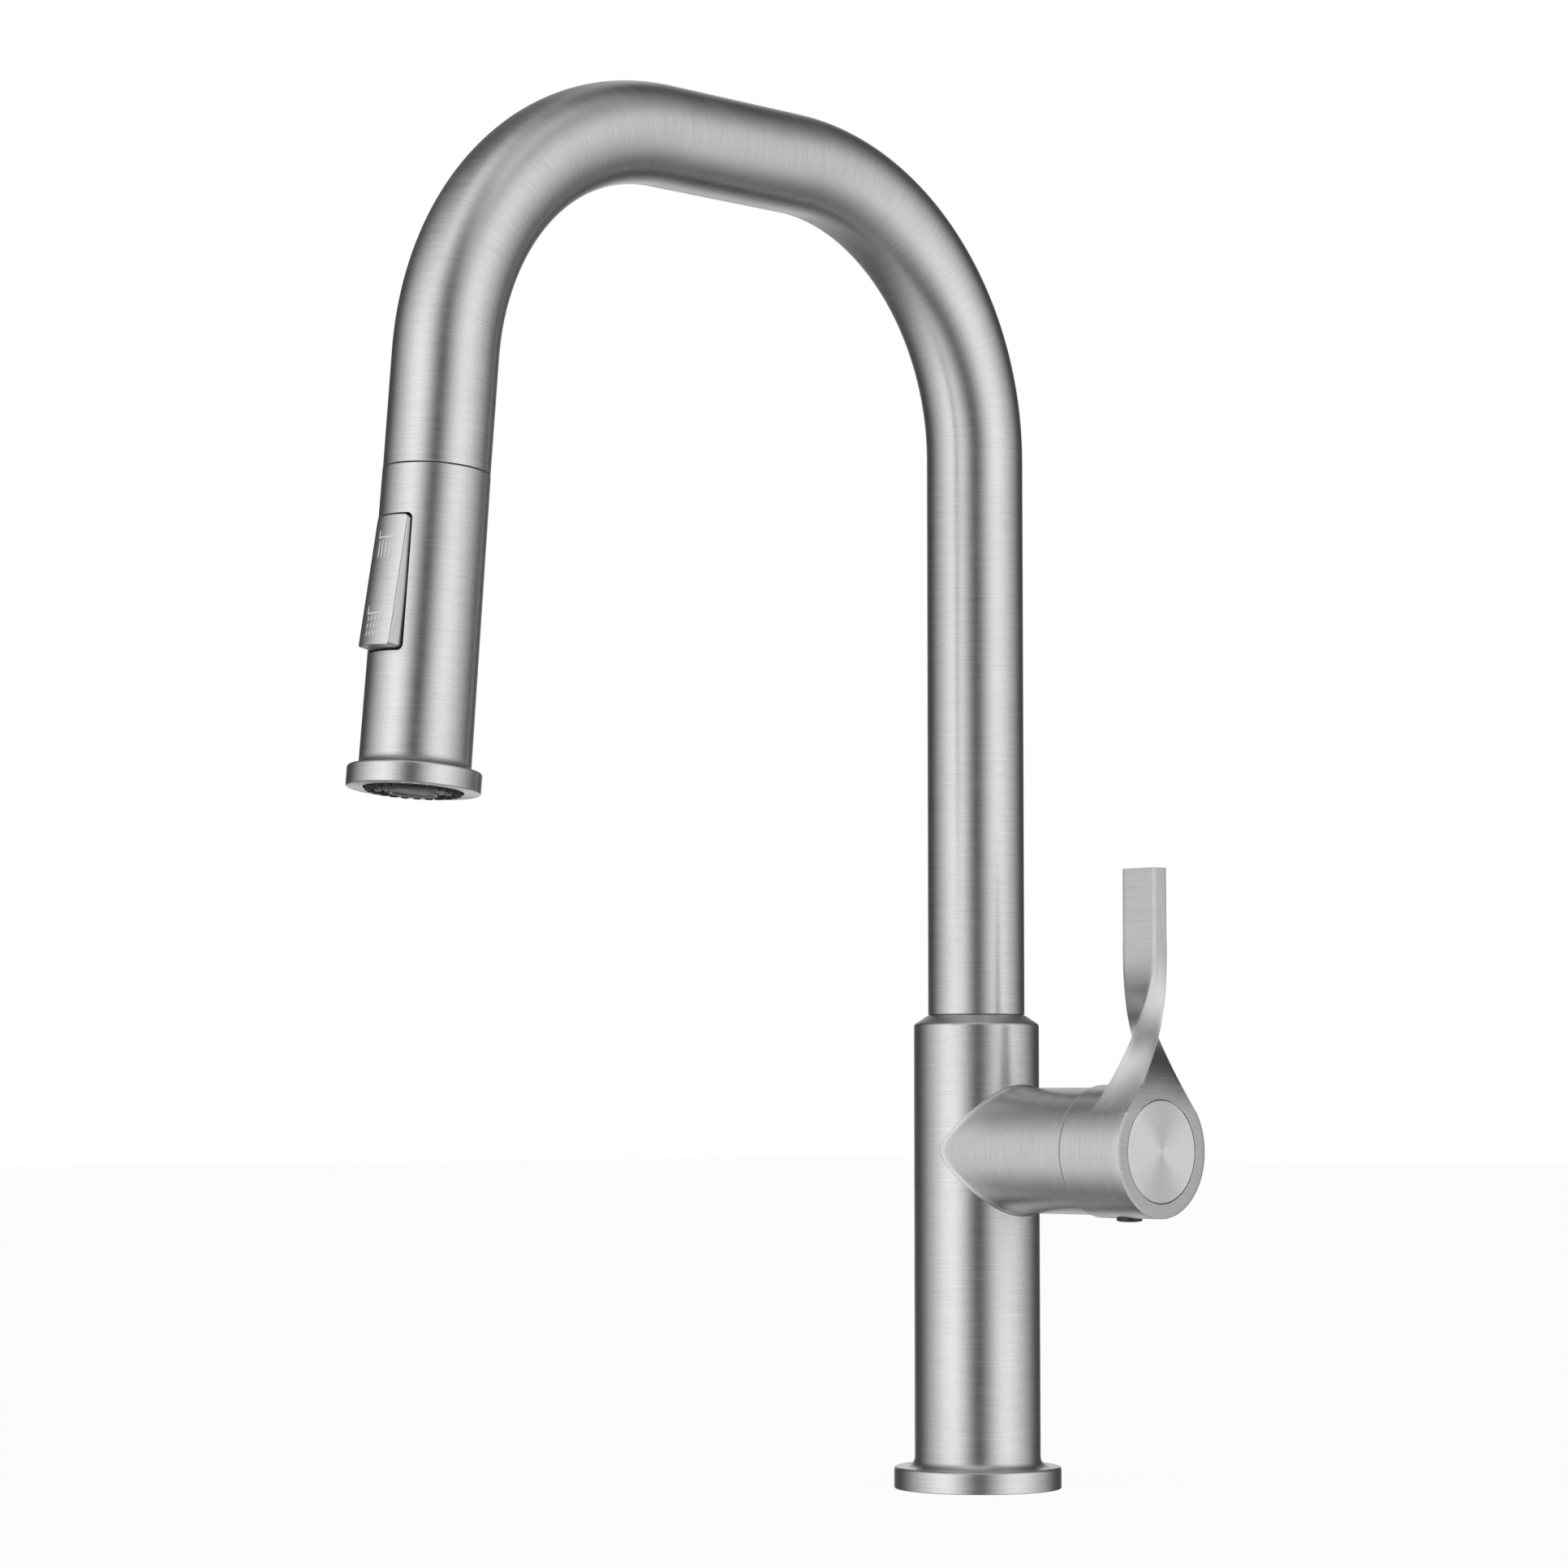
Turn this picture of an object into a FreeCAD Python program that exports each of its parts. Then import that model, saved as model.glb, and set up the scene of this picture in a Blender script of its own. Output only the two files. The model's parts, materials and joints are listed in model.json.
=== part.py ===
import FreeCAD, Part
import math
import os
import Sketcher

# Pull-down kitchen faucet, millimetres.
# Frame: the origin is the centre of the body's foot on the deck, +Z is up,
# the spout reaches along -Y and the handle's arm points along +X.

SHEET_NAME = "Dimensions"

DRIVING = {
    # column, foot and arm
    "column_rad": 19.45,
    "column_top": 142.9,
    "shoulder_top": 145.7,
    "shoulder_rad": 15.05,
    "foot_rad": 25.85,
    "foot_high": 6.7,
    "foot_fillet": 5.0,
    "foot_edge": 0.8,
    "column_bore_rad": 16.5,
    "lip_low": 122.0,
    "lip_high": 124.5,
    "lip_rad": 13.2,
    "bush_rad": 14.6,
    "axis_high": 104.0,
    "arm_rad": 19.2,
    "arm_end": 51.0,
    "arm_chamfer": 0.6,
    "arm_bore_rad": 16.3,
    "arm_seat": 46.0,
    "ring_seat_rad": 18.0,
    # deck side
    "gasket_in_rad": 20.0,
    "gasket_out_rad": 23.6,
    "gasket_deep": 1.6,
    "socket_rad": 16.45,
    "socket_bore_rad": 13.5,
    "socket_high": 16.0,
    # valve core and cartridge, lengths measured along the arm from the column's axis
    "core_rad": 16.2,
    "core_start": 5.8,
    "core_face": 24.0,
    "core_end": 44.0,
    "cup_rad": 14.1,
    "port_rad": 2.4,
    "port_gap": 8.0,
    "nipple_rad": 3.4,
    "nipple_low": 78.0,
    "nipple_high": 93.0,
    "nipple_along": 9.6,
    "cartridge_rad": 13.9,
    "cartridge_face": 24.8,
    "cartridge_shoulder": 38.0,
    "neck_rad": 9.2,
    "neck_end": 43.0,
    "disc_rad": 11.9,
    "disc_thick": 3.4,
    "disc_hole_rad": 2.2,
    "disc_clear": 0.2,
    "disc_film": 0.02,
    "disc_port_gap": 5.6,
    "cartridge_roof": 34.0,
    "stem_foot_high": 1.7,
    "seal_wire_rad": 0.38,
    "seal_grip": 0.6,
    "seal_face": 24.4,
    "nut_flange_end": 46.5,
    "stem_rad": 4.2,
    "stem_end": 66.0,
    "stem_foot_rad": 8.0,
    "fit_gap": 0.06,
    "nut_bore_rad": 9.5,
    "nut_flange_rad": 15.9,
    "nut_slot": 3.0,
    "bonnet_rad": 17.95,
    "bonnet_bore_rad": 16.5,
    "bonnet_end": 52.6,
    # handle
    "hub_rad": 20.05,
    "hub_start": 51.3,
    "hub_end": 75.1,
    "hub_edge": 0.5,
    "hub_mouth_rad": 18.4,
    "hub_mouth_deep": 53.4,
    "hub_hollow_rad": 16.8,
    "hub_hollow_end": 68.0,
    "boss_rad": 9.6,
    "boss_start": 54.5,
    "adapter_rad": 7.0,
    "cap_rad": 15.4,
    "cap_gap": 0.2,
    "cap_start": 72.0,
    "screw_along": 62.25,
    "screw_rad": 2.4,
    "screw_long": 10.0,
    "plug_rad": 3.85,
    "plug_proud": 1.1,
    "strap_low": 11.5,
    "strap_high": 85.0,
    "twist_low": 10.0,
    "twist_high": 62.0,
    "strap_low_thick": 15.0,
    "strap_top_thick": 5.35,
    "strap_low_wide": 32.8,
    "strap_top_wide": 12.7,
    "strap_top_along": 68.9,
    # spout
    "tube_rad": 15.0,
    "tube_bore_rad": 13.8,
    "tube_low": 146.2,
    "riser_top": 320.0,
    "bend_rad": 82.0,
    "span_long": 54.0,
    "drop_angle": 85.0,
    "leg_long": 33.6,
    "connector_rad": 13.76,
    "connector_high": 168.0,
    "spigot_rad": 13.0,
    "spigot_low": 120.6,
    "bush_bore_rad": 13.08,
    "hose_way_rad": 8.0,
    "clip_groove_rad": 12.0,
    "clip_low": 121.0,
    "clip_high": 121.8,
    "dock_bore_rad": 12.3,
    "dock_deep": 20.0,
    "magnet_rad": 13.2,
    "magnet_bore_rad": 9.4,
    "magnet_thick": 6.0,
    "hose_rad": 4.5,
    "hose_low": 19.0,
    # hose end, lengths measured down the spray head's axis from its seam
    "ferrule_rad": 5.7,
    "ferrule_top": -33.0,
    "hose_stop": -17.0,
    "collar_rad": 7.0,
    "connector_stem_rad": 4.0,
    "connector_stem_end": 9.0,
    # spray head
    "head_top_rad": 15.08,
    "head_low_rad": 15.6,
    "head_long": 83.3,
    "head_wall": 1.7,
    "seam_gap": 0.3,
    "plug_neck_rad": 12.0,
    "plug_neck_up": 11.0,
    "plug_neck_bore_rad": 7.5,
    "head_core_rad": 8.6,
    "head_core_start": 3.2,
    "head_core_end": 76.0,
    "core_flat": 7.3,
    "ring_rad": 18.7,
    "ring_high": 6.0,
    "ring_edge": 0.8,
    "face_rad": 13.8,
    "face_thick": 3.0,
    "face_inset": 0.5,
    "nozzle_proud": 0.8,
    "nozzle_long": 5.3,
    "pad_thick": 1.2,
    "pad_out_rad": 12.9,
    "pad_in_rad": 8.0,
    "nozzle_ring_rad": 10.6,
    "nozzle_rad": 0.75,
    "nozzle_count": 24,
    "aerator_rad": 7.2,
    "mesh_rad": 6.0,
    "mesh_thick": 0.8,
    "aerator_proud": 1.2,
    "aerator_lip": 0.4,
    "aerator_lip_high": 0.7,
    # button
    "button_top": 14.9,
    "button_long": 37.2,
    "button_wide": 13.1,
    "button_gap": 0.4,
    "button_corner": 1.7,
    "button_tilt": 5.4,
    "button_proud": 2.25,
    "button_low": 11.0,
    "button_wall": 1.3,
    "button_roof": 15.6,
    "pivot_high": 13.4,
    "pin_rad": 1.0,
    "pin_long": 9.8,
    "rib_wide": 5.6,
    "rib_long": 5.0,
    "nib_tip": 5.3,
    "nib_touch": 5.7,
    "nib_wide": 2.0,
    "nib_thick": 1.4,
    "spool_high": 3.6,
    "spool_rad": 2.9,
    "spool_long": 26.0,
    "spool_waist_rad": 1.3,
    "spool_waist_long": 2.4,
}

# Part of the strap's taper that is left at a height, as powers of the way still to go.
THICK_POWER = 3.55
WIDE_POWER = 5.58
ALONG_POWER = 12.0
STRAP_HEIGHTS = [11.5, 14.5, 18.5, 23.0, 28.0, 33.0, 38.0, 43.5, 50.0, 57.0, 64.0, 85.0]


def text_of(number):
    """A sheet-safe spelling of a plain number."""
    return repr(round(float(number), 6))


class Size:
    """A length with its value and the expression that gives it from the sheet."""

    def __init__(self, value, text):
        self.value = value
        self.text = text

    def combine(self, other, sign, value):
        other_text = other.text if isinstance(other, Size) else text_of(other)
        return Size(value, "(%s %s %s)" % (self.text, sign, other_text))

    def __add__(self, other):
        return self.combine(other, "+", self.value + plain(other))

    def __sub__(self, other):
        return self.combine(other, "-", self.value - plain(other))

    def __mul__(self, other):
        return self.combine(other, "*", self.value * plain(other))

    def __truediv__(self, other):
        return self.combine(other, "/", self.value / plain(other))

    def __neg__(self):
        return Size(-self.value, "(0 - %s)" % self.text)


def plain(size):
    return size.value if isinstance(size, Size) else float(size)


def bind(item, prop, size):
    """Sets a property and ties it to the sheet when it comes from there."""
    if isinstance(size, Size):
        item.setExpression(prop, size.text)
    else:
        setattr(item, prop, size)


doc = FreeCAD.newDocument("pull_down_faucet")
sheet = doc.addObject("Spreadsheet::Sheet", SHEET_NAME)
D = {}
for row, (alias, number) in enumerate(DRIVING.items(), start=1):
    sheet.set("A%d" % row, alias)
    sheet.set("B%d" % row, text_of(number))
    sheet.setAlias("B%d" % row, alias)
    D[alias] = Size(float(number), "%s.%s" % (SHEET_NAME, alias))
doc.recompute()

nodes = []


def keep(item, label):
    """Makes an object one of the sub-parts that are written out."""
    item.Label = label
    nodes.append(item)
    return item


# Frames: where local z runs up, along the arm, or down the spray head.

def upright():
    return FreeCAD.Placement()


def along_arm():
    axis = FreeCAD.Vector(0, 0, D["axis_high"].value)
    return FreeCAD.Placement(axis, FreeCAD.Rotation(FreeCAD.Vector(0, 1, 0), 90))


def lean():
    """How far the spray head leans out from the vertical, in degrees."""
    return 90.0 - D["drop_angle"].value


def seam_point():
    """The spout's axis where the tube meets the spray head."""
    drop = math.radians(D["drop_angle"].value)
    bend = D["bend_rad"].value
    leg = D["leg_long"].value + D["seam_gap"].value
    reach = bend + D["span_long"].value + bend * math.sin(drop) + leg * math.cos(drop)
    high = D["riser_top"].value + bend * math.cos(drop) - leg * math.sin(drop)
    return FreeCAD.Vector(0, -reach, high)


def down_head():
    """Local z runs down the head's axis and local y points out of its front."""
    turn = FreeCAD.Rotation(FreeCAD.Vector(1, 0, 0), 180.0 - lean())
    return FreeCAD.Placement(seam_point(), turn)


def offset(frame, x=0.0, y=0.0, z=0.0, turn=None):
    """A frame moved, and perhaps turned, within another frame."""
    step = FreeCAD.Placement(FreeCAD.Vector(plain(x), plain(y), plain(z)), turn or FreeCAD.Rotation())
    return frame.multiply(step)


# Shapes

def origin_plane(body, role):
    return [item for item in body.Origin.OriginFeatures if item.Role == role][0]


def turned(name, outline, frame):
    """A body of revolution: outline is (radius, height) corners about local z."""
    body = doc.addObject("PartDesign::Body", name)
    sketch = body.newObject("Sketcher::SketchObject", name + "_outline")
    sketch.AttachmentSupport = [(origin_plane(body, "XZ_Plane"), "")]
    sketch.MapMode = "FlatFace"
    corners = [FreeCAD.Vector(plain(r), plain(z), 0) for r, z in outline]
    count = len(corners)
    for i in range(count):
        sketch.addGeometry(Part.LineSegment(corners[i], corners[(i + 1) % count]))
    for i in range(count):
        sketch.addConstraint(Sketcher.Constraint("Coincident", i, 2, (i + 1) % count, 1))
    for i, (radius, height) in enumerate(outline):
        place_corner(sketch, i, "DistanceX", -2, radius)
        place_corner(sketch, i, "DistanceY", -1, height)
    spin = body.newObject("PartDesign::Revolution", name + "_turn")
    spin.Profile = sketch
    spin.ReferenceAxis = (sketch, ["V_Axis"])
    spin.Angle = 360
    sketch.Visibility = False
    body.Placement = frame
    return body


def place_corner(sketch, index, kind, axis, size):
    """Holds one corner of an outline, on the axis or at a distance from it."""
    if plain(size) == 0.0:
        sketch.addConstraint(Sketcher.Constraint("PointOnObject", index, 1, axis))
        return
    number = sketch.addConstraint(Sketcher.Constraint(kind, -1, 1, index, 1, plain(size)))
    if isinstance(size, Size):
        sketch.setExpression("Constraints[%d]" % number, size.text)


def washer(name, inner, outer, low, high, frame):
    return turned(name, [(inner, low), (outer, low), (outer, high), (inner, high)], frame)


def rod(name, radius, long, frame):
    item = doc.addObject("Part::Cylinder", name)
    bind(item, "Radius", radius)
    bind(item, "Height", long)
    item.Placement = frame
    return item


def block(name, wide, deep, long, frame):
    """A box centred on its frame in x and y, rising along local z."""
    item = doc.addObject("Part::Box", name)
    bind(item, "Length", wide)
    bind(item, "Width", deep)
    bind(item, "Height", long)
    item.Placement = offset(frame, -plain(wide) / 2, -plain(deep) / 2)
    return item


def ring(name, major, minor, frame):
    item = doc.addObject("Part::Torus", name)
    bind(item, "Radius1", major)
    bind(item, "Radius2", minor)
    item.Placement = frame
    return item


def cut(name, base, *tools):
    """The base less each tool in turn."""
    for number, tool in enumerate(tools, start=1):
        item = doc.addObject("Part::Cut", "%s_cut_%d" % (name, number))
        item.Base = base
        item.Tool = tool
        base = item
    return base


def joined(name, pieces):
    item = doc.addObject("Part::MultiFuse", name)
    item.Shapes = pieces
    item.Refine = True
    return item


def group(name, pieces):
    """Separate like pieces that share one node."""
    item = doc.addObject("Part::Compound", name)
    item.Links = pieces
    return item


def rounded(name, base, radius, wanted):
    """Rounds the edges that the test picks."""
    doc.recompute()
    item = doc.addObject("Part::Fillet", name)
    item.Base = base
    size = plain(radius)
    edges = enumerate(base.Shape.Edges, start=1)
    item.Edges = [(number, size, size) for number, edge in edges if wanted(edge)]
    return item


def ring_edge(radius, high):
    """Picks circular edges of a radius at a height."""
    def test(edge):
        if not isinstance(edge.Curve, Part.Circle):
            return False
        near_radius = abs(edge.Curve.Radius - plain(radius)) < 0.01
        return near_radius and abs(edge.Curve.Center.z - plain(high)) < 0.01
    return test


# The fixed base

def make_valve_body():
    column = turned("column", [
        (0, 0),
        (D["foot_rad"], 0),
        (D["foot_rad"], D["foot_high"]),
        (D["column_rad"], D["foot_high"]),
        (D["column_rad"], D["column_top"]),
        (D["shoulder_rad"], D["shoulder_top"]),
        (0, D["shoulder_top"]),
    ], upright())
    foot = rounded("foot_fillet", column, D["foot_fillet"], ring_edge(D["column_rad"], D["foot_high"]))
    foot = rounded("foot_round", foot, D["foot_edge"], ring_edge(D["foot_rad"], D["foot_high"]))
    column_bore = turned("column_bore", [
        (0, -1),
        (D["column_bore_rad"], -1),
        (D["column_bore_rad"], D["lip_low"]),
        (D["lip_rad"], D["lip_low"]),
        (D["lip_rad"], D["lip_high"]),
        (D["bush_rad"], D["lip_high"]),
        (D["bush_rad"], D["shoulder_top"] + 1),
        (0, D["shoulder_top"] + 1),
    ], upright())
    side_hole = rod("side_hole", D["arm_bore_rad"], D["arm_end"], along_arm())
    groove = washer("gasket_groove", D["gasket_in_rad"], D["gasket_out_rad"], -1, D["gasket_deep"], upright())
    keep(cut("valve_body", foot, column_bore, side_hole, groove), "valve_body")


def make_side_arm():
    """The arm is a tube whose inner end is saddled to the column it is welded to."""
    arm = turned("arm", [
        (D["arm_bore_rad"], 0),
        (D["arm_rad"], 0),
        (D["arm_rad"], D["arm_end"] - D["arm_chamfer"]),
        (D["arm_rad"] - D["arm_chamfer"], D["arm_end"]),
        (D["ring_seat_rad"], D["arm_end"]),
        (D["ring_seat_rad"], D["arm_seat"]),
        (D["arm_bore_rad"], D["arm_seat"]),
    ], along_arm())
    saddle = rod("arm_saddle", D["column_rad"], D["column_top"], upright())
    keep(cut("side_arm", arm, saddle), "side_arm")


def make_deck_side():
    gasket = washer("gasket", D["gasket_in_rad"], D["gasket_out_rad"], 0, D["gasket_deep"], upright())
    keep(gasket, "base_gasket")
    socket = washer("socket", D["socket_bore_rad"], D["socket_rad"], 0, D["socket_high"], upright())
    keep(socket, "shank_socket")


def make_valve_core():
    core = turned("core", [
        (0, D["core_start"]),
        (D["core_rad"], D["core_start"]),
        (D["core_rad"], D["core_end"]),
        (D["cup_rad"], D["core_end"]),
        (D["cup_rad"], D["core_face"]),
        (0, D["core_face"]),
    ], along_arm())
    tools = []
    for side in (-1, 0, 1):
        across = D["port_gap"].value * side
        along = D["nipple_along"] + (0 if side else 2.0)
        well = offset(upright(), along, across, D["nipple_low"])
        tools.append(rod("nipple_seat", D["nipple_rad"], D["nipple_high"] - D["nipple_low"], well))
        tools.append(rod("inlet_way", D["port_rad"], D["axis_high"] - D["nipple_low"] + abs(side), well))
        passage = offset(along_arm(), -abs(side), across, along)
        tools.append(rod("core_way", D["port_rad"], D["core_face"] - along + 1, passage))
    keep(cut("valve_core", core, *tools), "valve_core")


def make_port_nipples():
    nipples = []
    for side in (-1, 0, 1):
        along = D["nipple_along"] + (0 if side else 2.0)
        foot = offset(upright(), along, D["port_gap"].value * side)
        nipple = washer("nipple", D["port_rad"], D["nipple_rad"], D["nipple_low"], D["nipple_high"], foot)
        nipples.append(nipple)
    keep(group("port_nipples", nipples), "port_nipples")


def make_cartridge():
    frame = along_arm()
    inside = D["disc_rad"] + D["disc_clear"]
    roof = D["cartridge_roof"]
    housing = turned("housing", [
        (inside, D["cartridge_face"]),
        (D["cartridge_rad"], D["cartridge_face"]),
        (D["cartridge_rad"], D["cartridge_shoulder"]),
        (D["neck_rad"], D["cartridge_shoulder"]),
        (D["neck_rad"], D["neck_end"]),
        (D["stem_rad"] + D["fit_gap"], D["neck_end"]),
        (D["stem_rad"] + D["fit_gap"], roof),
        (inside, roof),
    ], frame)
    keep(housing, "cartridge_housing")
    low = D["cartridge_face"] + D["disc_clear"] / 2
    disc_names = ("fixed_disc", "moving_disc")
    for number, label in enumerate(disc_names):
        base = offset(frame, z=low + (D["disc_thick"] + D["disc_film"]) * number)
        disc = rod(label + "_blank", D["disc_rad"] - D["disc_clear"] * number, D["disc_thick"], base)
        holes = []
        for side in (-1, 1):
            spot = offset(base, 0, D["disc_port_gap"].value * side, -1)
            holes.append(rod(label + "_port", D["disc_hole_rad"], D["disc_thick"] + 2, spot))
        keep(cut(label, disc, *holes), label)
    foot = low + (D["disc_thick"] + D["disc_film"]) * 2
    stem = turned("stem", [
        (0, foot),
        (D["stem_foot_rad"], foot),
        (D["stem_foot_rad"], foot + D["stem_foot_high"]),
        (D["stem_rad"], foot + D["stem_foot_high"]),
        (D["stem_rad"], D["stem_end"]),
        (0, D["stem_end"]),
    ], frame)
    keep(stem, "cartridge_stem")
    seals = []
    for side in (-1, 0, 1):
        spot = offset(frame, -abs(side), D["port_gap"].value * side, D["seal_face"])
        seals.append(ring("seal", D["port_rad"] + D["seal_grip"], D["seal_wire_rad"], spot))
    keep(group("cartridge_seals", seals), "cartridge_seals")


def make_cartridge_nut():
    nut_rad = D["cup_rad"] - D["fit_gap"] / 2
    start = D["cartridge_shoulder"] + D["fit_gap"]
    flange = D["core_end"] + D["fit_gap"]
    nut = turned("nut", [
        (D["nut_bore_rad"], start),
        (nut_rad, start),
        (nut_rad, flange),
        (D["nut_flange_rad"], flange),
        (D["nut_flange_rad"], D["nut_flange_end"]),
        (D["nut_bore_rad"], D["nut_flange_end"]),
    ], along_arm())
    slots = []
    slot_count = 4
    for number in range(slot_count):
        turn = FreeCAD.Rotation(FreeCAD.Vector(0, 0, 1), 360.0 * number / slot_count)
        spot = offset(along_arm(), z=D["core_end"] + 1, turn=turn)
        spot = offset(spot, x=D["nut_flange_rad"])
        slots.append(block("nut_slot", D["nut_slot"] * 2, D["nut_slot"], 5, spot))
    keep(cut("cartridge_nut", nut, *slots), "cartridge_nut")


def make_bonnet_ring():
    low, high = D["arm_seat"], D["bonnet_end"]
    bonnet = washer("bonnet", D["bonnet_bore_rad"], D["bonnet_rad"], low, high, along_arm())
    keep(bonnet, "bonnet_ring")


def make_swivel_bush():
    bush = washer("bush", D["bush_bore_rad"], D["bush_rad"], D["lip_high"], D["shoulder_top"], upright())
    keep(bush, "swivel_bush")


# The handle

def strap_way(high):
    """How much of the strap's taper is left at a height above the arm's axis."""
    return (D["strap_high"].value - high) / (D["strap_high"].value - D["strap_low"].value)


def strap_twist(high):
    """The strap turns a quarter turn, gently at both ends."""
    way = (high - D["twist_low"].value) / (D["twist_high"].value - D["twist_low"].value)
    way = min(max(way, 0.0), 1.0)
    return 90.0 * way * way * (3.0 - 2.0 * way)


def strap_section(high):
    """One level cross-section of the strap, as a sketch with its two sizes held."""
    left = strap_way(high)
    thick = D["strap_top_thick"] + (D["strap_low_thick"] - D["strap_top_thick"]) * (left ** THICK_POWER)
    wide = D["strap_top_wide"] + (D["strap_low_wide"] - D["strap_top_wide"]) * (left ** WIDE_POWER)
    low_along = D["hub_end"].value - D["strap_low_thick"].value / 2
    top_along = D["strap_top_along"].value
    along = top_along + (low_along - top_along) * left ** ALONG_POWER
    sketch = doc.addObject("Sketcher::SketchObject", "strap_section")
    a = plain(thick) / 2
    b = plain(wide) / 2
    corners = [(-a, -b), (a, -b), (a, b), (-a, b)]
    vectors = [FreeCAD.Vector(x, y, 0) for x, y in corners]
    for i in range(4):
        sketch.addGeometry(Part.LineSegment(vectors[i], vectors[(i + 1) % 4]))
    for i in range(4):
        sketch.addConstraint(Sketcher.Constraint("Coincident", i, 2, (i + 1) % 4, 1))
    for i in (0, 2):
        sketch.addConstraint(Sketcher.Constraint("Horizontal", i))
        sketch.addConstraint(Sketcher.Constraint("Vertical", i + 1))
    sketch.addConstraint(Sketcher.Constraint("Symmetric", 0, 1, 2, 1, -1, 1))
    held = sketch.addConstraint(Sketcher.Constraint("DistanceX", 0, 1, 0, 2, 2 * a))
    sketch.setExpression("Constraints[%d]" % held, thick.text)
    held = sketch.addConstraint(Sketcher.Constraint("DistanceY", 1, 1, 1, 2, 2 * b))
    sketch.setExpression("Constraints[%d]" % held, wide.text)
    place = FreeCAD.Vector(along, 0, D["axis_high"].value + high)
    sketch.Placement = FreeCAD.Placement(place, FreeCAD.Rotation(FreeCAD.Vector(0, 0, 1), strap_twist(high)))
    return sketch


def make_handle_lever():
    frame = along_arm()
    hub = turned("hub", [
        (0, D["hub_start"]),
        (D["hub_rad"] - D["hub_edge"], D["hub_start"]),
        (D["hub_rad"], D["hub_start"] + D["hub_edge"]),
        (D["hub_rad"], D["hub_end"]),
        (0, D["hub_end"]),
    ], frame)
    strap = doc.addObject("Part::Loft", "strap")
    strap.Sections = [strap_section(high) for high in STRAP_HEIGHTS]
    strap.Solid = True
    strap.Ruled = False
    lever = joined("lever_outside", [hub, strap])
    hollow = turned("hub_hollow", [
        (0, D["hub_start"] - 0.1),
        (D["hub_mouth_rad"], D["hub_start"] - 0.1),
        (D["hub_mouth_rad"], D["hub_mouth_deep"]),
        (D["hub_hollow_rad"], D["hub_mouth_deep"]),
        (D["hub_hollow_rad"], D["hub_hollow_end"]),
        (D["boss_rad"], D["hub_hollow_end"]),
        (D["boss_rad"], D["boss_start"]),
        (D["adapter_rad"], D["boss_start"]),
        (D["adapter_rad"], D["stem_end"] + 0.2),
        (0, D["stem_end"] + 0.2),
    ], frame)
    recess = rod("cap_recess", D["cap_rad"] + D["cap_gap"], 10, offset(frame, z=D["cap_start"] - 0.1))
    below = offset(frame, z=D["screw_along"], turn=FreeCAD.Rotation(FreeCAD.Vector(0, 1, 0), 90))
    screw_way = rod("screw_way", D["screw_rad"] + 0.1, D["hub_rad"], below)
    plug_way = rod("plug_way", D["plug_rad"] + 0.1, 10, offset(below, z=D["hub_hollow_rad"] - 0.4))
    keep(cut("handle_lever", lever, hollow, recess, screw_way, plug_way), "handle_lever")
    adapter = washer("adapter", D["stem_rad"], D["adapter_rad"], D["boss_start"] - 5, D["stem_end"], frame)
    adapter_way = rod("adapter_way", D["screw_rad"] + D["fit_gap"], 20, below)
    keep(cut("handle_adapter", adapter, adapter_way), "handle_adapter")
    screw = rod("screw", D["screw_rad"], D["screw_long"], offset(below, z=D["stem_rad"] + 0.05))
    keep(screw, "grub_screw")
    plug = turned("plug", [
        (0, D["hub_hollow_rad"]),
        (D["plug_rad"], D["hub_hollow_rad"]),
        (D["plug_rad"], D["hub_rad"] + 0.3),
        (D["plug_rad"] - 1.2, D["hub_rad"] + D["plug_proud"]),
        (0, D["hub_rad"] + D["plug_proud"]),
    ], below)
    keep(plug, "set_screw_plug")


def make_handle_cap():
    edge = 0.3
    cap = turned("cap", [
        (0, D["cap_start"]),
        (D["cap_rad"], D["cap_start"]),
        (D["cap_rad"], D["hub_end"] - edge),
        (D["cap_rad"] - edge, D["hub_end"]),
        (0, D["hub_end"]),
    ], along_arm())
    keep(cap, "handle_cap")


# The spout

def spout_rod(name, radius, low, leg):
    """A round bar along the spout's route: riser, bend, span, bend and leg."""
    bend = D["bend_rad"].value
    span = D["span_long"].value
    top = D["riser_top"].value
    drop = D["drop_angle"].value
    x_axis = FreeCAD.Vector(1, 0, 0)
    y_axis = FreeCAD.Vector(0, 1, 0)
    z_axis = FreeCAD.Vector(0, 0, 1)
    riser = rod(name + "_riser", radius, D["riser_top"] - low, offset(upright(), z=low))
    near_turn = FreeCAD.Rotation(y_axis, z_axis, x_axis, "XYZ")
    far_turn = FreeCAD.Rotation(z_axis, -y_axis, x_axis, "XYZ")
    near = ring(name + "_near_bend", D["bend_rad"], radius, offset(upright(), 0, -bend, top, near_turn))
    near.Angle3 = 90
    far = ring(name + "_far_bend", D["bend_rad"], radius, offset(upright(), 0, -bend - span, top, far_turn))
    bind(far, "Angle3", D["drop_angle"])
    across = FreeCAD.Rotation(x_axis, 90)
    middle = rod(name + "_span", radius, D["span_long"], offset(upright(), 0, -bend, top + bend, across))
    end_y = -bend - span - bend * math.sin(math.radians(drop))
    end_z = top + bend * math.cos(math.radians(drop))
    down = FreeCAD.Rotation(x_axis, 180.0 - lean())
    last = rod(name + "_leg", radius, leg, offset(upright(), 0, end_y, end_z, down))
    return joined(name, [riser, near, middle, far, last])


def make_spout_tube():
    outside = spout_rod("tube_outside", D["tube_rad"], D["tube_low"], D["leg_long"])
    inside = spout_rod("tube_inside", D["tube_bore_rad"], D["tube_low"] - 1, D["leg_long"] + 1)
    keep(cut("spout_tube", outside, inside), "spout_tube")


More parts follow.
